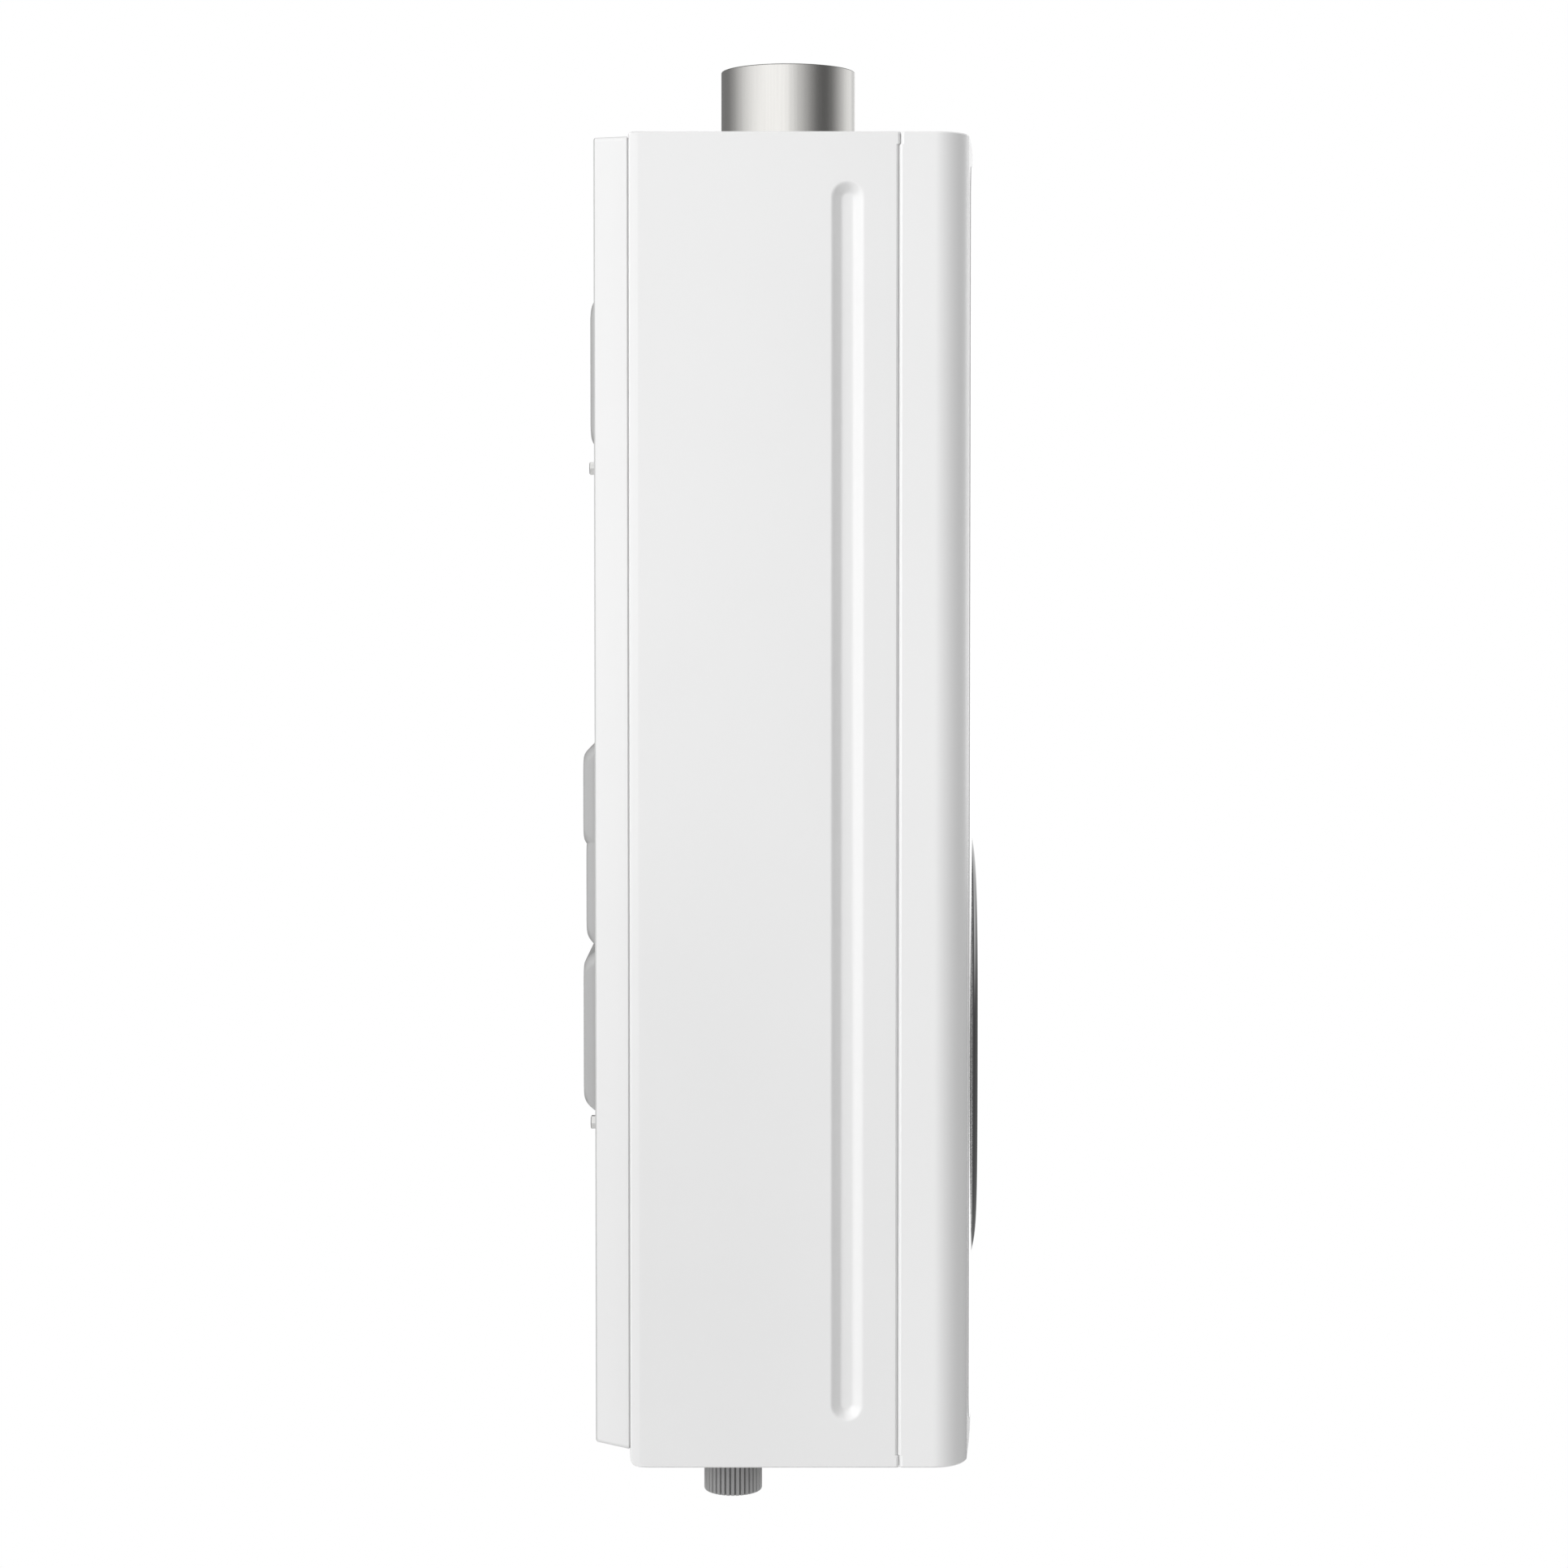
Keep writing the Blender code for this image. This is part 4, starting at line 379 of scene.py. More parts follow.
WHITE = painted("white_paint", 0.820, 0.38)
COVER_WHITE = painted("cover_paint", 0.855, 0.34)
BARE = painted("primer", 0.40, 0.45)
# Painted shade: a darker grey for the thin rear edges of the casing and tray, where they turn towards the
# wall
EDGE_SHADE = painted("painted_edge_shade", 0.50, 0.45)
FASCIA_WHITE = painted("fascia_paint", 0.875, 0.33, coat=1.0, coat_roughness=0.06)
STAINLESS = metal(
    "brushed_stainless",
    (0.66, 0.65, 0.63),
    (0.69, 0.68, 0.66),
    0.24,
    (1, 1, 0.02),
    size=0.0012,
    depth=0.0000001,
)
GALVANISED = metal("galvanised_sheet", (0.50, 0.51, 0.52), (0.64, 0.65, 0.66), 0.42, EVEN, size=0.006)
CUT_EDGE = metal("cut_edge", (0.20, 0.20, 0.19), (0.30, 0.30, 0.29), 0.45, EVEN, size=0.002)
ZINC = metal("zinc_plate", (0.60, 0.60, 0.59), (0.70, 0.70, 0.69), 0.30, EVEN, size=0.0012)
BRASS = metal("brass", (0.60, 0.42, 0.18), (0.72, 0.53, 0.25), 0.30, (1, 1, 9), size=0.0009)
COPPER = metal("copper", (0.62, 0.29, 0.18), (0.78, 0.40, 0.26), 0.34, (1, 1, 5), size=0.0030)
ALUMINIUM = metal(
    "cast_aluminium", (0.55, 0.56, 0.57), (0.66, 0.67, 0.68), 0.48, EVEN, size=0.0007, depth=0.00003
)
KNOB_PLASTIC = moulded("knob_plastic", (0.325,) * 3, (0.355,) * 3, 0.35, metallic=0.35)
BLACK_PLASTIC = moulded("black_plastic", (0.022, 0.022, 0.023), (0.032, 0.032, 0.033), 0.50)
WHITE_PLASTIC = moulded("white_plastic", (0.70, 0.70, 0.68), (0.76, 0.76, 0.74), 0.42)
CERAMIC = moulded("ceramic", (0.78, 0.77, 0.73), (0.86, 0.85, 0.82), 0.21)
GASKET = moulded("gasket_rubber", (0.34, 0.10, 0.07), (0.42, 0.14, 0.10), 0.70, size=0.0008, depth=0.00002)
BOARD = moulded("circuit_board", (0.02, 0.14, 0.06), (0.04, 0.22, 0.09), 0.40, size=0.0015, depth=0.00003)


def glass_finish():
    """Black glass: gloss over a deep, nearly even ground."""
    made = Finish("black_glass", (0.010, 0.010, 0.011), 0.06)
    made.colour(made.noise(0.05, 2.0), (0.009, 0.009, 0.010), (0.012, 0.012, 0.013))
    made.roughness(made.noise(0.02, 3.0), 0.045, 0.075)
    made.set(Coat_Weight=0.6, Coat_Roughness=0.03, IOR=1.52)
    return made.material


GLASS = glass_finish()


# Mesh helpers. A depth is a distance from the wall, so a point at depth d has Y = -d.
def add(name, bm, finish, angle=32):
    bmesh.ops.recalc_face_normals(bm, faces=bm.faces)
    mesh = bpy.data.meshes.new(name)
    bm.to_mesh(mesh)
    bm.free()
    mesh.shade_smooth()
    mesh.set_sharp_from_angle(angle=math.radians(angle))
    mesh.materials.append(finish)
    made = bpy.data.objects.new(name, mesh)
    scene.collection.objects.link(made)
    return made


def apply_modifiers(target, angle=32):
    """Makes what the modifiers show the object's own mesh."""
    graph = bpy.context.evaluated_depsgraph_get()
    mesh = bpy.data.meshes.new_from_object(target.evaluated_get(graph))
    target.modifiers.clear()
    target.data = mesh
    mesh.shade_smooth()
    mesh.set_sharp_from_angle(angle=math.radians(angle))


def combine(target, solids, operation):
    """Cuts the solids out of the target, or joins them on, one after another."""
    tools = []
    for solid in solids:
        helper = add("tool", solid, WHITE)
        step = target.modifiers.new(operation.lower(), "BOOLEAN")
        step.operation = operation
        step.solver = "EXACT"
        step.object = helper
        tools.append(helper)
    apply_modifiers(target)
    for helper in tools:
        bpy.data.objects.remove(helper, do_unlink=True)


def eased(target, width, angle=40, segments=2):
    """Small round edges, with the flat faces kept flat in the shading."""
    bevel = target.modifiers.new("edges", "BEVEL")
    bevel.width = width
    bevel.segments = segments
    bevel.limit_method = "ANGLE"
    bevel.angle_limit = math.radians(angle)
    bevel.use_clamp_overlap = True
    weighted = target.modifiers.new("normals", "WEIGHTED_NORMAL")
    weighted.keep_sharp = True
    return target


def loft(loops, closed=True):
    bm = bmesh.new()
    rings = [[bm.verts.new(point) for point in loop] for loop in loops]
    for low, high in zip(rings, rings[1:]):
        for i in range(len(low)):
            j = (i + 1) % len(low)
            bm.faces.new((low[i], low[j], high[j], high[i]))
    if closed:
        bm.faces.new(rings[0])
        bm.faces.new(rings[-1])
    return bm


def prism_z(outline, low, high):
    return loft([[(x, -depth, z) for x, depth in outline] for z in (low, high)])


def prism_y(outline, rear, front):
    return loft([[(x, -depth, z) for x, z in outline] for depth in (rear, front)])


def block(left, right, rear, front, low, high):
    return prism_z([(left, rear), (right, rear), (right, front), (left, front)], low, high)


def lain(place, axis):
    """Lays what was made upright at the origin along an axis, at an (x, depth, z) place."""
    x, depth, z = place
    turn = Matrix.Identity(4) if axis == "Z" else Matrix.Rotation(math.radians(90), 4, "X")
    return Matrix.Translation((x, -depth, z)) @ turn


def turned(profile, place=(0, 0, 0), axis="Z", sides=64, wave=None):
    """Turns a closed (radius, height) profile. wave(radius, angle, height) may change a radius."""
    bm = bmesh.new()
    rings = []
    for radius, height in profile:
        if radius == 0:
            rings.append([bm.verts.new((0, 0, height))] * sides)
            continue
        ring = []
        for i in range(sides):
            angle = 2 * math.pi * i / sides
            reach = wave(radius, angle, height) if wave else radius
            ring.append(bm.verts.new((reach * math.cos(angle), reach * math.sin(angle), height)))
        rings.append(ring)
    for low, high in zip(rings, rings[1:] + rings[:1]):
        for i in range(sides):
            j = (i + 1) % sides
            corners = list(dict.fromkeys((low[i], low[j], high[j], high[i])))
            if len(corners) > 2:
                bm.faces.new(corners)
    bm.transform(lain(place, axis))
    return bm


def disc(radius, low, high, place=(0, 0, 0), axis="Z", sides=48):
    return turned([(0, low), (radius, low), (radius, high), (0, high)], place, axis, sides)


def rounded(left, right, low, high, radius, steps=8):
    corners = (
        (right - radius, low + radius, -90),
        (right - radius, high - radius, 0),
        (left + radius, high - radius, 90),
        (left + radius, low + radius, 180),
    )
    points = []
    for x, z, start in corners:
        for i in range(steps + 1):
            angle = math.radians(start + 90 * i / steps)
            points.append((x + radius * math.cos(angle), z + radius * math.sin(angle)))
    return points


def box_middle(node):
    """The middle of a node's box, as (x, depth, z)."""
    low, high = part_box(node)
    return (low.x + high.x) / 2, -(low.y + high.y) / 2, (low.z + high.z) / 2


def stand_in(made, node, body="heater_body"):
    """Puts a finished piece in the place of a node of the model."""
    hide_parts(node)
    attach(made, body)
    return made


def primer_and_edge_shade(target, depth, lean):
    """Primer behind, and painted shade on thin rear edges. What looks at the wall, or lies nearer to it
    than a depth, is primer; the faces of the rear edge that turn towards the wall by more than lean get a
    darker grey, which is painted shade.
    """
    target.data.materials.append(BARE)
    target.data.materials.append(EDGE_SHADE)
    for face in target.data.polygons:
        if face.normal.y > 0.9 or -face.center.y < depth and face.normal.y > -0.9:
            face.material_index = 1
        # Painted shade on the thin faces of the rear bend, turned towards the wall
        elif face.normal.y > lean:
            face.material_index = 2


# Casing
def soft_step(share):
    share = min(1.0, max(0.0, share))
    return share * share * (3 - 2 * share)


def pressed(depth, z):
    """How far the groove lies in from the side at a point."""
    below = max(GROOVE_LOW + GROOVE_HALF - z, 0, z - GROOVE_HIGH + GROOVE_HALF)
    reach = math.hypot(depth - GROOVE_CENTRE, below)
    return GROOVE_DEPTH * soft_step((GROOVE_HALF - reach) / GROOVE_WALL)


def side_depths(front):
    """Depths of the side's columns from the front edge back, close together across the groove."""
    count = int(2 * (GROOVE_HALF + GROOVE_STEP) / GROOVE_STEP)
    first = GROOVE_CENTRE + count * GROOVE_STEP / 2
    groove = [first - i * GROOVE_STEP for i in range(count + 1)]
    return [front - CASING_EDGE] + groove + [REAR_COLUMN]


def side_heights(ends):
    """Heights of the side's rows, close together across the ends of the groove."""
    near = [i * GROOVE_STEP for i in GROOVE_END_ROWS]
    low = [GROOVE_LOW + z for z in near]
    high = [GROOVE_HIGH - z for z in reversed(near)]
    span = high[0] - low[-1]
    middle = [low[-1] + span * i / GROOVE_MIDDLE_ROWS for i in range(1, GROOVE_MIDDLE_ROWS)]
    return ends[0] + low + middle + high + ends[1]


def shell_ends(rounds):
    """Rows near both ends of a shell, where its corners are round and the seam has its notches."""
    low = [rounds[0] * (1 - math.cos(angle)) for angle in QUARTER]
    high = [rounds[1] * (1 - math.cos(angle)) for angle in QUARTER]
    steps = [CHAMFER, NOTCH_LOW, NOTCH_LOW + STEP, NOTCH_HIGH, NOTCH_HIGH + STEP]
    return sorted(BASE + z for z in low + steps), sorted(TOP - z for z in high + steps)


def chamfer(z):
    """How far the walls of a shell lie in at a height: only next to its floor and its roof."""
    return max(0, CHAMFER - min(z - BASE, TOP - z))


def notch(z):
    """How far the seam runs forward at a height: a small step near its ends."""
    return NOTCH_SHIFT * (min(z - BASE, TOP - z) < NOTCH_HIGH + STEP / 2)


def corner_cut(z):
    """How far the rear edge of the casing lies forward where its corners are round in side view."""
    for radius, reach in ((REAR_ROUND_LOW, z - BASE), (REAR_ROUND_HIGH, TOP - z)):
        if reach < radius:
            return radius - math.sqrt(max(0, radius**2 - (radius - max(reach, 0)) ** 2))
    return 0


def casing_loop(inset, front, z):
    """Plan of the casing at one height, with the groove pressed into both sides."""
    inset += chamfer(z)
    side = SIDE - inset
    radius = CORNER_RADIUS
    rear = REAR + inset + corner_cut(z)
    front += notch(z)
    right = [(side - CASING_EDGE_SHARE * CASING_EDGE, front)]
    right += [(side - pressed(depth, z), depth) for depth in side_depths(front)]
    taper = rear + CORNER_TAPER
    right += [(side, taper + 2 * TAPER_EASE), (side - TAPER_START_SHARE * CORNER_TAPER_IN, taper)]
    side -= CORNER_TAPER_IN
    for angle in QUARTER:
        x = side - radius + radius * math.cos(angle)
        right.append((x, rear + radius - radius * math.sin(angle)))
    points = right + [(-x, depth) for x, depth in reversed(right)]
    return [(x, -depth, z) for x, depth in points]


def floor_holes():
    """(x, depth, radius) of the round holes in the casing's floor."""
    holes = []
    for name in ("cold_inlet", "gas_inlet", "hot_outlet", "cable_gland"):
        radius = GLAND_RADIUS if name == "cable_gland" else FITTING_RADIUS
        holes.append((*box_middle(name)[:2], radius + FIT))
    holes.append((KNOB_X, KNOB_DEPTH, KNOB_HOLE))
    for name in ("cover_screw_left", "cover_screw_right"):
        holes.append((*box_middle(name)[:2], SCREW_HOLE))
    return holes


def flue_screws():
    return [box_middle("flue_screw_" + str(number))[:2] for number in range(1, 5)]


def make_casing():
    heights = side_heights(shell_ends((REAR_ROUND_LOW, REAR_ROUND_HIGH)))
    casing = add("casing_shell", loft([casing_loop(0, CASING_FRONT, z) for z in heights]), WHITE)
    inner_heights = side_heights(([BASE + SHEET], [TOP - SHEET]))
    inside = loft([casing_loop(SHEET, SEAM + PAST, z) for z in inner_heights])
    opening = rounded(
        REAR_FLANGE - SIDE,
        SIDE - REAR_FLANGE,
        BASE + REAR_FLANGE,
        TOP - REAR_FLANGE,
        FLANGE_CORNER,
    )
    cuts = [inside, prism_y(opening, REAR - PAST, REAR + PAST)]
    cuts.append(disc(FLUE_RADIUS + FIT, TOP - PAST, TOP + PAST, (0, FLUE_DEPTH, 0)))
    for x, depth in flue_screws():
        cuts.append(disc(SCREW_HOLE, TOP - PAST, TOP + PAST, (x, depth, 0), sides=20))
    for x, depth, radius in floor_holes():
        cuts.append(disc(radius, BASE - PAST, BASE + PAST, (x, depth, 0), sides=40))
    for i in range(VENTS):
        left = VENT_PITCH * (i - (VENTS - 1) / 2) - VENT_WIDTH / 2
        slot = rounded(left, left + VENT_WIDTH, VENT_DEPTH, VENT_DEPTH + VENT_LENGTH, VENT_CORNER, 6)
        cuts.append(prism_z(slot, BASE - PAST, BASE + PAST))
    combine(casing, cuts, "DIFFERENCE")
    # Primer on the rear flange, and painted shade on the thin rear edge
    primer_and_edge_shade(casing, 0, CASING_LEAN)
    eased(casing, EDGE_ROUND, 50)
    return stand_in(casing, "outer_casing")


# Front cover
def front_depth(x, proud=0.0):
    radius = FRONT_RADIUS + proud
    return COVER_FRONT - FRONT_RADIUS + math.sqrt(radius**2 - x**2)


def cover_loop(inset, rear, z, rear_round=0.0):
    """Plan of the cover at one height: straight sides, round edges and the arched front."""
    side = SIDE - inset
    radius = COVER_EDGE_RADIUS - inset
    centre_x = side - radius
    centre_depth = SEAM + COVER_EDGE_FLAT
    meet = front_depth(centre_x, -inset) - centre_depth
    half = []
    if rear_round:
        half += [(side - HEM_SHARE * rear_round, rear), (side, rear + rear_round)]
    else:
        half.append((side, rear))
    for i in range(COVER_EDGE_STEPS + 1):
        angle = math.radians(90 * i / COVER_EDGE_STEPS)
        half.append((centre_x + radius * math.cos(angle), centre_depth + meet * math.sin(angle)))
    for i in range(1, COVER_FRONT_STEPS):
        x = centre_x * (1 - i / COVER_FRONT_STEPS)
        half.append((x, front_depth(x, -inset)))
    points = half + [(0, COVER_FRONT - inset)] + [(-x, depth) for x, depth in reversed(half)]
    return [(x, -depth, z) for x, depth in points]


def window_disc(rear, front):
    """The round window behind the display."""
    return disc(WINDOW_RADIUS, rear, front, (0, 0, GLASS_CENTRE), "Y", WINDOW_SIDES)


def make_cover():
    rows = [z for end in shell_ends((0, 0)) for z in sorted(set(end))]
    shell = loft([cover_loop(chamfer(z), COVER_REAR_EDGE + notch(z), z, COVER_HEM) for z in rows])
    cover = add("front_cover_shell", shell, COVER_WHITE)
    inside = loft([cover_loop(SHEET, COVER_REAR_EDGE - PAST, z) for z in (BASE + SHEET, TOP - SHEET)])
    combine(cover, [inside], "DIFFERENCE")
    lips = []
    for start, inset in ((COVER_REAR, SHEET + FIT), (COVER_REAR_EDGE + COVER_HEM, SHEET / 2)):
        reach = SIDE - inset
        lips.append(block(-reach, reach, start, LIP_FRONT, BASE + inset, TOP - inset))
    combine(cover, lips, "UNION")
    reach = SIDE - LIP_WALL
    mouth = block(-reach, reach, COVER_REAR - PAST, LIP_FRONT + PAST, BASE + LIP_WALL, TOP - LIP_WALL)
    cuts = [mouth, window_disc(COVER_FRONT - 2 * PAST, COVER_FRONT + PAST)]
    for name in ("cover_screw_left", "cover_screw_right"):
        place = (*box_middle(name)[:2], 0)
        cuts.append(disc(SCREW_HOLE, BASE - PAST, BASE + PAST, place, sides=20))
    combine(cover, cuts, "DIFFERENCE")
    eased(cover, EDGE_ROUND, 55)
    return stand_in(cover, "front_cover")


def make_fascia():
    back = FASCIA_HIGH.x + PAST
    xs = [back * (i / FASCIA_STEPS - 1) for i in range(2 * FASCIA_STEPS + 1)]
    rear = [(x, front_depth(x)) for x in xs]
    front = [(x, front_depth(x, FASCIA_THICKNESS)) for x in reversed(xs)]
    fascia = add("fascia_sheet", prism_z(rear + front, BASE, TOP), FASCIA_WHITE)
    ends = (FASCIA_LOW.x, FASCIA_HIGH.x, FASCIA_LOW.z, FASCIA_HIGH.z)
    shape = rounded(*ends, FASCIA_CORNER, FASCIA_CORNER_STEPS)
    reach = (SEAM, COVER_FRONT + 2 * PAST)
    combine(fascia, [prism_y(shape, *reach)], "INTERSECT")
    combine(fascia, [window_disc(*reach)], "DIFFERENCE")
    eased(fascia, FASCIA_ROUND, 50)
    return stand_in(fascia, "front_fascia")


def glass_rise(radius):
    edge = max(0, radius - GLASS_RADIUS + GLASS_EDGE_REACH) / GLASS_EDGE_REACH
    return GLASS_EDGE + (GLASS_RISE - GLASS_EDGE) * (1 - edge**GLASS_EDGE_POWER)


def make_glass():
    """A domed disc that follows the arch of the fascia."""
    seat = FIT + FASCIA_THICKNESS
    radii = [GLASS_RADIUS * share for share in GLASS_RING_SHARES]
    for i in range(GLASS_EDGE_RINGS + 1):
        radii.append(GLASS_RADIUS - GLASS_EDGE_REACH * (1 - i / GLASS_EDGE_RINGS))
    loops = []
    for radius, rise in [(r, glass_rise(r)) for r in radii] + [(r, 0) for r in reversed(radii)]:
        loop = []
        for i in range(GLASS_SIDES):
            angle = 2 * math.pi * i / GLASS_SIDES
            x = radius * math.cos(angle)
            loop.append((x, -front_depth(x, seat + rise), GLASS_CENTRE + radius * math.sin(angle)))
        loops.append(loop)
    glass = add("display_dome", loft(loops), GLASS, 40)
    return stand_in(glass, "display_glass")


# Rear tray
def tray_loop(share, inset):
    """The tray's outline at a share of the way from its front edge to its rear face."""
    half = TRAY_HIGH.x - TRAY_TAPER * share
    low = TRAY_LOW.z + TRAY_TAPER_LOW * share
    high = TRAY_HIGH.z - TRAY_TAPER_HIGH * share
    depth = -TRAY_LOW.y + (TRAY_REAR + TRAY_LOW.y) * share
    points = rounded(-half + inset, half - inset, low + inset, high - inset, TRAY_CORNER)
    return [(x, -depth, z) for x, z in points]


def pad(low, high, proud):
    """A pressed pad with round shoulders. Its first two loops are the straight foot of its wall."""
    loops = []
    for i in range(PAD_STEPS + 2):
        share = max(0, i - 1) / PAD_STEPS
        rise = (PAD_WALL_SHARE + (1 - PAD_WALL_SHARE) * (1 - (1 - share) ** PAD_POWER)) * (i > 0)
        depth = TRAY_REAR + SHEET / 2 - (proud + SHEET / 2) * rise
        half = PAD_HALF - PAD_SIDE_SHARE * PAD_SLOPE * share
        ends = PAD_SLOPE * share
        heights = (BASE + low + ends, BASE + high - ends)
        points = rounded(-half, half, *heights, PAD_CORNER, PAD_CORNER_STEPS)
        loops.append([(x, -depth, z) for x, z in points])
    return loft(loops)


def make_tray():
    tray = add("rear_tray", loft([tray_loop(share, inset) for share, inset in TRAY_LOOPS]), WHITE)
    combine(tray, [pad(*measures) for measures in PADS], "UNION")
    front = -TRAY_LOW.y
    mouth = [(x, z) for x, y, z in tray_loop(0, TRAY_MOUTH)]
    cuts = [prism_y(mouth, front - 2 * SHEET, front + PAST)]
    for row in ("chassis_screw_upper_", "chassis_screw_lower_", "bracket_screw_"):
        for side in ("left", "right"):
            x, depth, z = box_middle(row + side)
            cuts.append(disc(SCREW_HOLE, 0, 2 * TRAY_REAR, (x, 0, z), "Y", 20))
    inner = [
        [(x, -(front - SHEET), z) for x, y, z in tray_loop(0, SHEET)],
        [(x, -(TRAY_REAR + SHEET), z) for x, y, z in tray_loop(1, SHEET)],
    ]
    cuts.append(loft(inner))
    combine(tray, cuts, "DIFFERENCE")
    # Primer on the rear face and pads, and painted shade on the thin rear edge
    primer_and_edge_shade(tray, TRAY_REAR - FIT, TRAY_LEAN)
    eased(tray, TRAY_ROUND, 55, 3)
    return stand_in(tray, "rear_chassis")


# Flue collar
def make_collar():
    low = COLLAR_LOW.z
    high = COLLAR_HIGH.z
    bore = FLUE_RADIUS - FLUE_WALL
    lip = SPIGOT_LIP
    round_share = SPIGOT_LIP_SHARE
    profile = [
        (bore, low),
        (FLUE_RADIUS, low),
        (FLUE_RADIUS, FLANGE_LOW),
        (FLANGE_RADIUS - FLANGE_EDGE, FLANGE_LOW),
        (FLANGE_RADIUS, FLANGE_LOW + FLANGE_EDGE),
        (FLANGE_RADIUS, FLANGE_HIGH - FLANGE_EDGE),
        (FLANGE_RADIUS - FLANGE_EDGE, FLANGE_HIGH),
        (FLUE_RADIUS + FLANGE_FILLET, FLANGE_HIGH),
        (FLUE_RADIUS + FLANGE_EDGE, FLANGE_HIGH + FLANGE_EDGE),
        (FLUE_RADIUS, FLANGE_HIGH + FLANGE_FILLET),
        (FLUE_RADIUS, high - lip),
        (FLUE_RADIUS - lip * round_share, high - lip * round_share),
        (FLUE_RADIUS - lip, high),
        (bore + lip * round_share, high),
        (bore, high - lip / 2),
    ]
    spigot = turned(profile, (0, FLUE_DEPTH, 0), sides=SPIGOT_SIDES)
    collar = add("flue_spigot", spigot, STAINLESS)
    holes = []
    for x, depth in flue_screws():
        holes.append(disc(SCREW_HOLE, FLANGE_LOW - PAST, FLANGE_HIGH + PAST, (x, depth, 0), sides=20))
    combine(collar, holes, "DIFFERENCE")
    collar.data.materials.append(CUT_EDGE)
    for face in collar.data.polygons:
        if face.center.z > high - lip:
            face.material_index = 1
    return stand_in(collar, "flue_collar")


# Screws
def make_screw(node, axis, toward):
    """A screw with a cross recess and a thread. toward is +1 or -1 along the axis.

    The four behind the tray have a hexagon with a flange, and the others have a pan head.
    """
    low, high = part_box(node)
    middle = (low + high) / 2
    hexagon = node.startswith("chassis")
    head = HEXAGON_HEAD if hexagon else PAN_HEAD
    if axis == "Z":
        under = low.z + head if toward > 0 else high.z - head
        place = (middle.x, -middle.y, under)
        length = (high.z - low.z) - head
    else:
        under = -high.y + head
        place = (middle.x, under, middle.z)
        length = (high.y - low.y) - head
    radius = (high.x - low.x) / 2
    profile = [(0, -head)]
    for share, height in FLANGED_SHARES if hexagon else PAN_SHARES:
        profile.append((radius * share, -head * height))
    profile.append((SCREW_SHANK, 0))
    for i in range(int((length - SCREW_SHANK) / SCREW_PITCH)):
        crest = SCREW_THREAD_START + SCREW_PITCH * i
        profile.append((SCREW_SHANK, crest))
        profile.append((SCREW_SHANK * SCREW_ROOT_SHARE, crest + SCREW_PITCH / 2))
    profile.append((SCREW_SHANK * SCREW_TIP_SHARE, length - SCREW_SHANK))
    profile.append((0, length))
    profile = [(reach, toward * height) for reach, height in profile]

    def corners(reach, angle, height):
        if not hexagon or abs(height) < FLANGE_SHARE * head or toward * height > 0:
            return reach
        turn = math.radians(30)
        return reach * math.cos(turn) / math.cos((angle % (2 * turn)) - turn)

    screw = add(node + "_finished", turned(profile, place, axis, SCREW_SIDES, corners), ZINC)
    arm = radius * RECESS_ARM_SHARE
    half = radius * RECESS_HALF_SHARE
    depth = head * RECESS_DEPTH_SHARE
    recess = []
    for turn in (RECESS_TURN, RECESS_TURN + 90):
        bm = bmesh.new()
        bmesh.ops.create_cube(bm, size=1)
        bm.transform(Matrix.Diagonal((2 * arm, 2 * half, 2 * depth, 1)))
        bm.transform(Matrix.Rotation(math.radians(turn), 4, "Z"))
        bm.transform(Matrix.Translation((0, 0, -toward * head)))
        bm.transform(lain(place, axis))
        recess.append(bm)
    combine(screw, recess, "DIFFERENCE")
    return stand_in(screw, node)


# Knob and connections
def make_knob():
    """The fluted knob, with a dished end and round edges."""

    def flute(radius, angle, height):
        if radius < KNOB_RADIUS * FLUTED_SHARE:
            return radius
        share = (angle * FLUTES / (2 * math.pi)) % 1.0
        valley = max(0, 1 - abs(share - 0.5) / FLUTE_SHARE)
        return radius - FLUTE_DEPTH * valley

    low = KNOB_LOW.z
    high = KNOB_HIGH.z
    edge = KNOB_EDGE
    inner = edge * KNOB_EDGE_SHARE
    radius = KNOB_RADIUS
    profile = [(radius * share, low + rise) for share, rise in KNOB_DISH]
    profile += [
        (radius - edge, low),
        (radius - inner, low + inner),
        (radius, low + edge),
        (radius, high - edge),
        (radius - inner, high - inner),
        (radius - edge, high),
        (KNOB_BORE, high),
        (KNOB_BORE, high - KNOB_BORE_DEPTH),
        (0, high - KNOB_BORE_DEPTH),
    ]
    bm = turned(profile, (KNOB_X, KNOB_DEPTH, 0), sides=FLUTES * FLUTE_SIDES, wave=flute)
    knob = add("temperature_knob", bm, KNOB_PLASTIC)
    return stand_in(knob, "knob", "control_knob")


def make_fitting(node):
    """A pipe tail with its thread, above which a collar seats on the floor of the casing."""
    low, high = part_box(node)
    outer = FITTING_RADIUS
    bore = FITTING_BORE
    root = outer - FITTING_THREAD_DEPTH
    start = low.z + FITTING_THREAD_START
    turns = int((FITTING_THREAD_END - low.z) / FITTING_PITCH)
    profile = [(bore, low.z), (root, low.z)]
    for i in range(turns):
        z = start + FITTING_PITCH * i
        profile.append((root, z))
        profile += [(outer, z + FITTING_PITCH * share) for share in FITTING_CREST_SHARES]
    collar = BASE + SHEET + FIT
    profile += [
        (root, start + FITTING_PITCH * turns),
        (root, FITTING_NECK_LOW),
        (outer, FITTING_NECK_HIGH),
        (outer, collar),
        (FITTING_COLLAR, collar),
        (FITTING_COLLAR, collar + FITTING_COLLAR_HEIGHT),
        (outer, collar + FITTING_COLLAR_HEIGHT),
        (outer, high.z),
        (bore, high.z),
    ]
    place = (*box_middle(node)[:2], 0)
    fitting = add(node + "_finished", turned(profile, place, sides=FITTING_SIDES), BRASS)
    return stand_in(fitting, node)


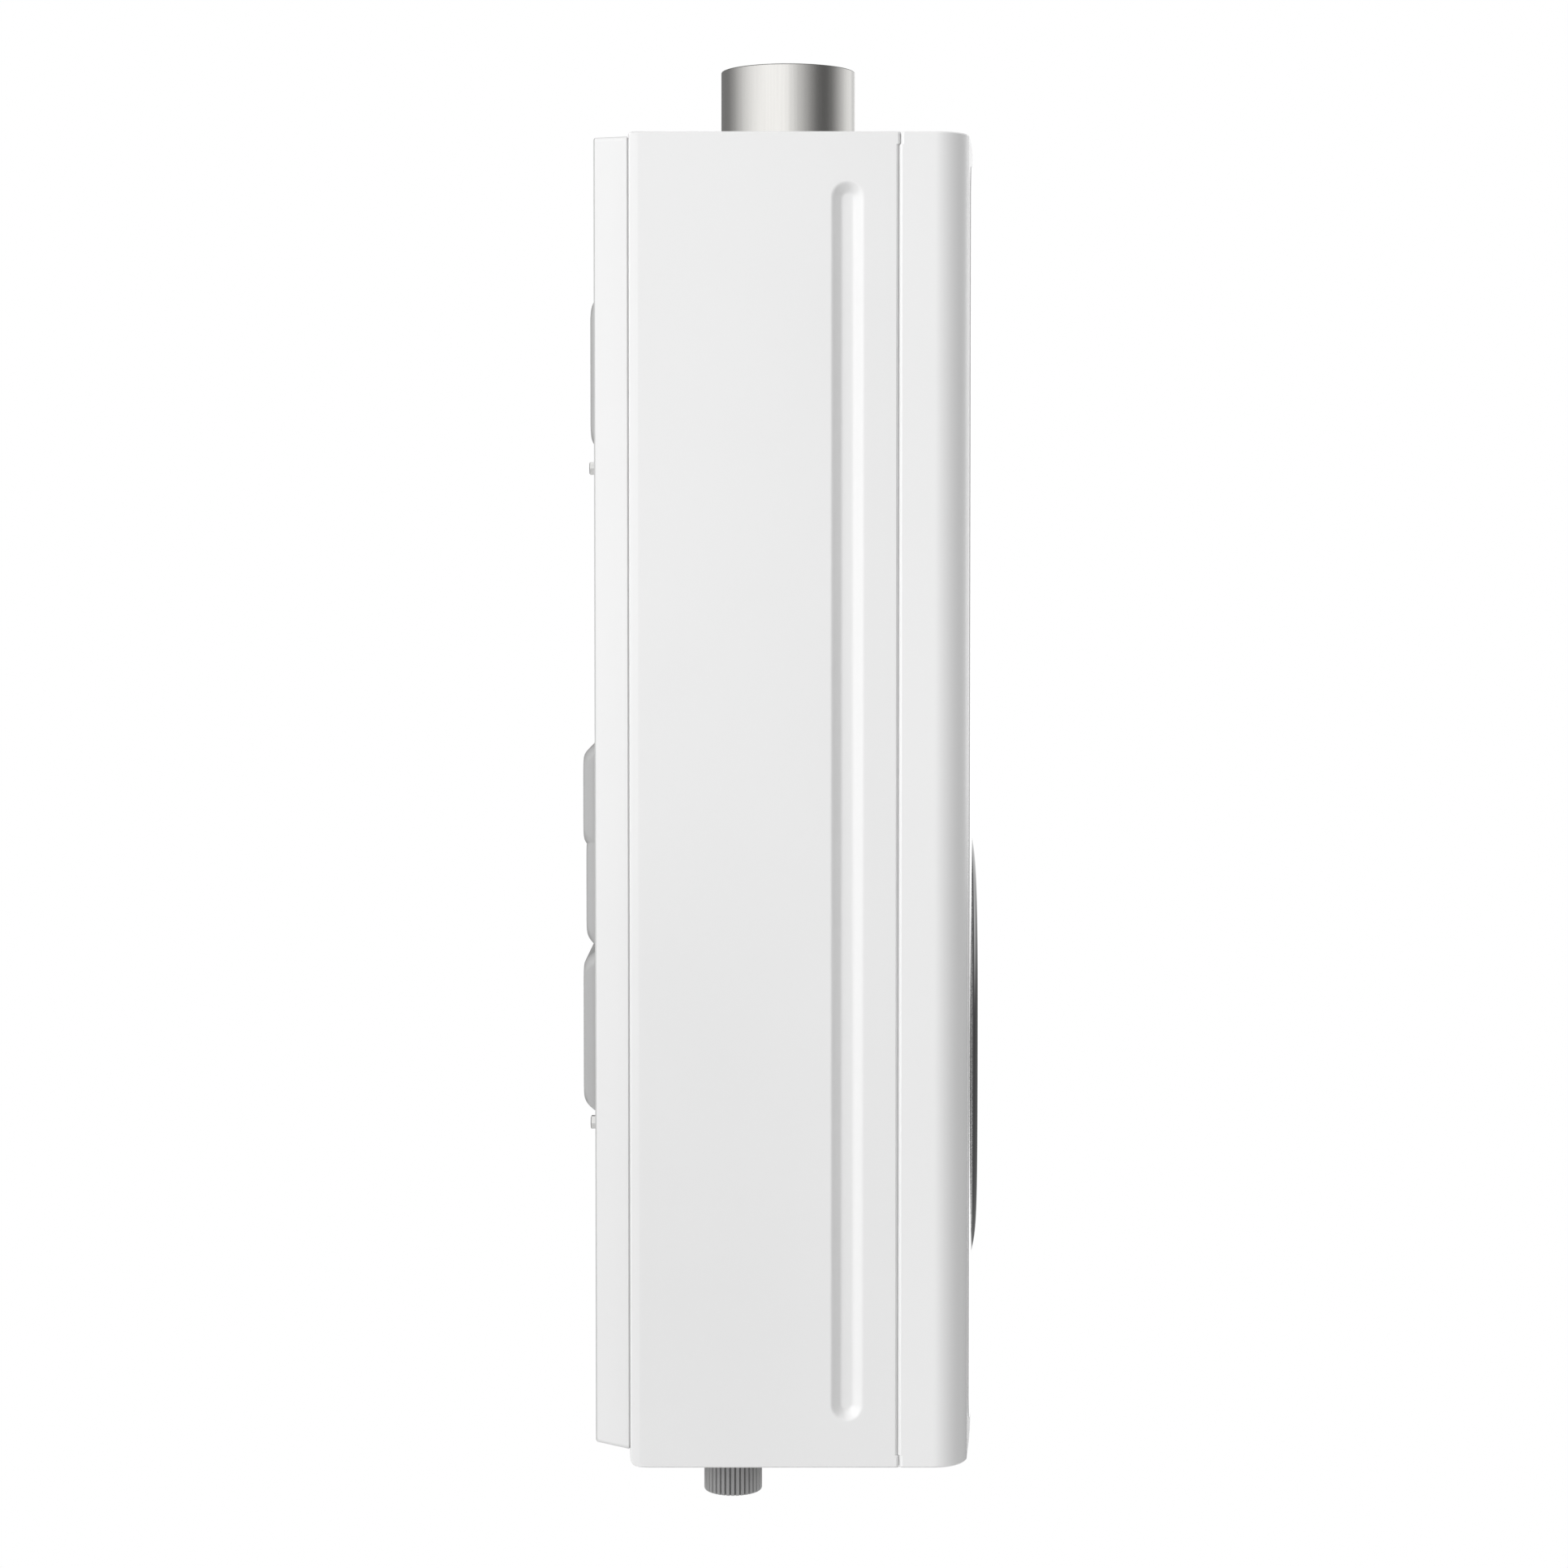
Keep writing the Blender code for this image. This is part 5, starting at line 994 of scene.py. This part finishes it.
def make_gland():
    low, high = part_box("cable_gland")
    head = (high.x - low.x) / 2

    def grip(radius, angle, height):
        if radius < head * GLAND_GRIP_SHARE or height > GLAND_SEAT - GLAND_GRIP_END:
            return radius
        return radius - GLAND_GRIP_DEPTH * soft_step(0.5 + 0.5 * math.cos(GLAND_GRIPS * angle))

    profile = [(GLAND_BORE, low.z + GLAND_DISH), (GLAND_MOUTH, low.z)]
    profile += [(head - inset, low.z + rise) for inset, rise in GLAND_EDGE]
    profile += [(head, GLAND_SEAT - drop) for drop in GLAND_RIM]
    profile += [
        (head, GLAND_SEAT),
        (GLAND_RADIUS, GLAND_SEAT),
        (GLAND_RADIUS, high.z),
        (GLAND_BORE, high.z),
    ]
    place = (*box_middle("cable_gland")[:2], 0)
    gland = add("cable_gland_finished", turned(profile, place, sides=GLAND_SIDES, wave=grip), BLACK_PLASTIC)
    return stand_in(gland, "cable_gland")


def refined(node, finish):
    """A node of the model with its flat faces joined and its edges eased."""
    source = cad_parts[node]
    bm = bmesh.new()
    bm.from_mesh(source.data)
    bmesh.ops.remove_doubles(bm, verts=bm.verts, dist=WELD)
    bmesh.ops.dissolve_limit(
        bm,
        angle_limit=math.radians(2),
        use_dissolve_boundaries=False,
        verts=bm.verts,
        edges=bm.edges,
    )
    made = add(node + "_finished", bm, finish)
    eased(made, REFINED_ROUND)
    return stand_in(made, node)


# What stays inside keeps its solid and gets its finish
CARRIED = {
    BRASS: ("knob_spindle", "water_valve"),
    BLACK_PLASTIC: (
        "flow_sensor",
        "display_housing",
        "gas_valve_coil",
        "controller_box",
        "ignition_coil",
        "overheat_thermostat",
    ),
    WHITE_PLASTIC: ("flow_rotor", "pressure_switch"),
    COPPER: ("cold_pipe", "hot_pipe", "exchanger_pipe", "combustion_chamber", "heat_exchanger"),
    GALVANISED: (
        "gas_pipe",
        "burner_box",
        "exhaust_hood",
        "fan_housing",
        "fan_impeller",
        "fan_motor",
        "rail_upper",
        "rail_lower",
    ),
    ALUMINIUM: ("gas_valve", "gas_manifold"),
    STAINLESS: ("burner_bars",),
    ZINC: ("gas_valve_plunger", "fan_shaft"),
    BOARD: ("display_board", "controller_board"),
    CERAMIC: ("ignition_electrode", "flame_sensor"),
}


make_casing()
make_cover()
make_fascia()
make_glass()
make_tray()
make_collar()
make_knob()
make_gland()
for node in ("cold_inlet", "gas_inlet", "hot_outlet"):
    make_fitting(node)
for side in ("left", "right"):
    make_screw("cover_screw_" + side, "Z", 1)
    make_screw("bracket_screw_" + side, "Y", 1)
    make_screw("chassis_screw_upper_" + side, "Y", 1)
    make_screw("chassis_screw_lower_" + side, "Y", 1)
for number in range(1, 5):
    make_screw("flue_screw_" + str(number), "Z", -1)
refined("hanging_bracket", GALVANISED)
refined("flue_gasket", GASKET)

for finish, names in CARRIED.items():
    for name in names:
        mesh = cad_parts[name].data
        mesh.materials.clear()
        mesh.materials.append(finish)


# Floor, light and camera
def what_is_seen(tree):
    """1 where the camera, a reflection or a look through a clear body ends, and 0 for other light."""
    ray = tree.nodes.new("ShaderNodeLightPath")
    seen = ray.outputs["Is Camera Ray"]
    for name in ("Is Glossy Ray", "Is Transmission Ray"):
        either = tree.nodes.new("ShaderNodeMath")
        either.operation = "MAXIMUM"
        tree.links.new(seen, either.inputs[0])
        tree.links.new(ray.outputs[name], either.inputs[1])
        seen = either.outputs[0]
    return seen


def blended(tree, share, first, second, output):
    """Shows the first shader, and the second one by a share."""
    mixed = tree.nodes.new("ShaderNodeMixShader")
    tree.links.new(share, mixed.inputs[0])
    tree.links.new(first.outputs[0], mixed.inputs[1])
    tree.links.new(second.outputs[0], mixed.inputs[2])
    tree.links.new(mixed.outputs[0], tree.nodes[output].inputs["Surface"])


def make_floor():
    """A pale floor that keeps the heater's shadow and is white further out."""
    bm = bmesh.new()
    bmesh.ops.create_grid(bm, x_segments=2, y_segments=2, size=FLOOR_SIZE)
    made = Finish("floor_paint", (FLOOR_TONE,) * 3, 0.8)
    made.set(Specular_IOR_Level=0.1)
    tree = made.tree
    seen = what_is_seen(tree)
    reach = tree.nodes.new("ShaderNodeVectorMath")
    reach.operation = "LENGTH"
    tree.links.new(made.place, reach.inputs[0])
    fade = tree.nodes.new("ShaderNodeMapRange")
    fade.interpolation_type = "SMOOTHSTEP"
    fade.inputs["From Min"].default_value = FLOOR_FADE[0]
    fade.inputs["From Max"].default_value = FLOOR_FADE[1]
    tree.links.new(reach.outputs["Value"], fade.inputs["Value"])
    share = tree.nodes.new("ShaderNodeMath")
    share.operation = "MULTIPLY"
    tree.links.new(seen, share.inputs[0])
    tree.links.new(fade.outputs["Result"], share.inputs[1])
    white = tree.nodes.new("ShaderNodeEmission")
    white.inputs["Color"].default_value = (1, 1, 1, 1)
    blended(tree, share.outputs[0], made.shader, white, "Material Output")
    floor = add("floor", bm, made.material)
    floor.location = (0, 0, FLOOR)
    floor.visible_diffuse = False


def make_world(level):
    """White for the camera and in reflections, and even soft light for everything else."""
    world = bpy.data.worlds.new("studio")
    scene.world = world
    world.use_nodes = True
    tree = world.node_tree
    light = tree.nodes["Background"]
    light.inputs["Color"].default_value = (1, 1, 1, 1)
    light.inputs["Strength"].default_value = level
    white = tree.nodes.new("ShaderNodeBackground")
    white.inputs["Color"].default_value = (1, 1, 1, 1)
    white.inputs["Strength"].default_value = 1.0
    blended(tree, what_is_seen(tree), light, white, "World Output")


def around(angle, lift, distance):
    """A place round the heater: 0 degrees is on its left, 90 in front of it, -90 on the wall's side."""
    turn = math.radians(angle)
    rise = math.radians(lift)
    flat = Vector((-math.cos(turn), -math.sin(turn), 0)) * math.cos(rise)
    return CENTRE + (flat + Vector((0, 0, math.sin(rise)))) * distance


def aimed(made, place):
    made.location = place
    made.rotation_euler = (CENTRE - place).to_track_quat("-Z", "Y").to_euler()
    scene.collection.objects.link(made)
    return made


def make_lamp(name, place, width, height, glow):
    """A soft box. glow is how bright its face is, where 1 is white. Reflections show the wall instead."""
    lamp = bpy.data.lights.new(name, "AREA")
    lamp.shape = "RECTANGLE"
    lamp.size = width
    lamp.size_y = height
    lamp.energy = glow * math.pi * width * height
    made = aimed(bpy.data.objects.new(name, lamp), place)
    made.visible_glossy = False
    return made


# Tones of the wall that reflections show, by the angle round the heater that around() takes
WALL_TONES = (
    (-180, 0.17),
    (-126, 0.17),
    (-106, 0.36),
    (-88, 0.62),
    (-70, 0.84),
    (-48, 1.00),
    (-14, 1.00),
    (4, 0.80),
    (22, 0.52),
    (40, 0.28),
    (56, 0.10),
    (74, 0.09),
    (88, 0.20),
    (104, 0.46),
    (122, 0.74),
    (142, 0.84),
    (149, 0.56),
    (160, 0.56),
    (165, 0.90),
    (180, 0.90),
)
# Where the wall shows a flag low down, by the same angle from 0 to 360: 1 is the flag
FLAG_ENDS = ((0, 0), (90, 0), (110, 1), (163, 1), (167, 0), (360, 0))


def wall_stops():
    """Share of a turn and tone of each stop. The tones at 180 and -180 stand on each side of the half."""
    stops = []
    for angle, tone in WALL_TONES:
        share = (angle % 360) / 360
        if abs(angle) == 180:
            share -= math.copysign(WALL_SEAM, angle)
        stops.append((share, tone))
    return sorted(stops)


def graded(tree, turn, stops):
    """Grey tones by the turn round the wall, from (share, tone) stops."""
    node = tree.nodes.new("ShaderNodeValToRGB")
    elements = node.color_ramp.elements
    for share, tone in stops:
        elements.new(share).color = (tone, tone, tone, 1)
    elements.remove(elements[0])
    elements.remove(elements[len(elements) - 1])
    tree.links.new(turn.outputs["Fac"], node.inputs["Fac"])
    return node.outputs["Color"]


def make_wall(level):
    """A round studio wall that only reflections show: pale, with two soft dark flags."""
    bm = bmesh.new()
    bmesh.ops.create_cone(
        bm,
        cap_ends=False,
        segments=WALL_SIDES,
        radius1=WALL_RADIUS,
        radius2=WALL_RADIUS,
        depth=WALL_HEIGHT,
    )
    paint = bpy.data.materials.new("wall_paint")
    paint.use_nodes = True
    tree = paint.node_tree
    place = tree.nodes.new("ShaderNodeTexCoord").outputs["Object"]
    turn = tree.nodes.new("ShaderNodeTexGradient")
    turn.gradient_type = "RADIAL"
    tree.links.new(place, turn.inputs["Vector"])
    tones = graded(tree, turn, wall_stops())
    ends = graded(tree, turn, [(angle / 360, tone) for angle, tone in FLAG_ENDS])
    height = tree.nodes.new("ShaderNodeSeparateXYZ")
    tree.links.new(place, height.inputs[0])
    low = tree.nodes.new("ShaderNodeMapRange")
    low.interpolation_type = "SMOOTHSTEP"
    low.inputs["From Min"].default_value = FLAG_LOW - CENTRE.z
    low.inputs["From Max"].default_value = FLAG_HIGH - CENTRE.z
    low.inputs["To Min"].default_value = 1.0
    low.inputs["To Max"].default_value = 0.0
    tree.links.new(height.outputs["Z"], low.inputs["Value"])
    share = tree.nodes.new("ShaderNodeMath")
    share.operation = "MULTIPLY"
    tree.links.new(low.outputs["Result"], share.inputs[0])
    tree.links.new(ends, share.inputs[1])
    mixed = tree.nodes.new("ShaderNodeMix")
    mixed.data_type = "RGBA"
    first, second = [socket for socket in mixed.inputs if socket.type == "RGBA"]
    shown = next(socket for socket in mixed.outputs if socket.type == "RGBA")
    tree.links.new(share.outputs[0], mixed.inputs["Factor"])
    tree.links.new(tones, first)
    second.default_value = (FLAG_TONE, FLAG_TONE, FLAG_TONE, 1)
    glow = tree.nodes.new("ShaderNodeEmission")
    glow.inputs["Strength"].default_value = level
    tree.links.new(shown, glow.inputs["Color"])
    tree.links.new(glow.outputs[0], tree.nodes["Material Output"].inputs["Surface"])
    wall = add("wall", bm, paint)
    wall.location = CENTRE
    wall.visible_camera = False
    wall.visible_diffuse = False
    wall.visible_transmission = False
    wall.visible_shadow = False


make_floor()
make_world(WORLD_LEVEL)
make_lamp("key", around(-55, 29, 5.0), width=2.7, height=2.7, glow=5.2)
make_lamp("softbox", around(-26, 2, 2.4), width=1.5, height=2.4, glow=1.40)
make_lamp("rim", around(140, 20, 2.4), width=1.0, height=1.8, glow=5.0)
make_wall(WALL_LEVEL)

camera_data = bpy.data.cameras.new("camera")
camera_data.sensor_width = CAMERA_SENSOR
camera_data.lens = CAMERA_LENS
camera_data.shift_y = CAMERA_SHIFT
camera = bpy.data.objects.new("camera", camera_data)
camera.location = CAMERA_PLACE
camera.rotation_euler = (math.radians(90 - CAMERA_LEAN), 0, math.radians(-90))
scene.collection.objects.link(camera)
scene.camera = camera

scene.view_settings.view_transform = "Standard"
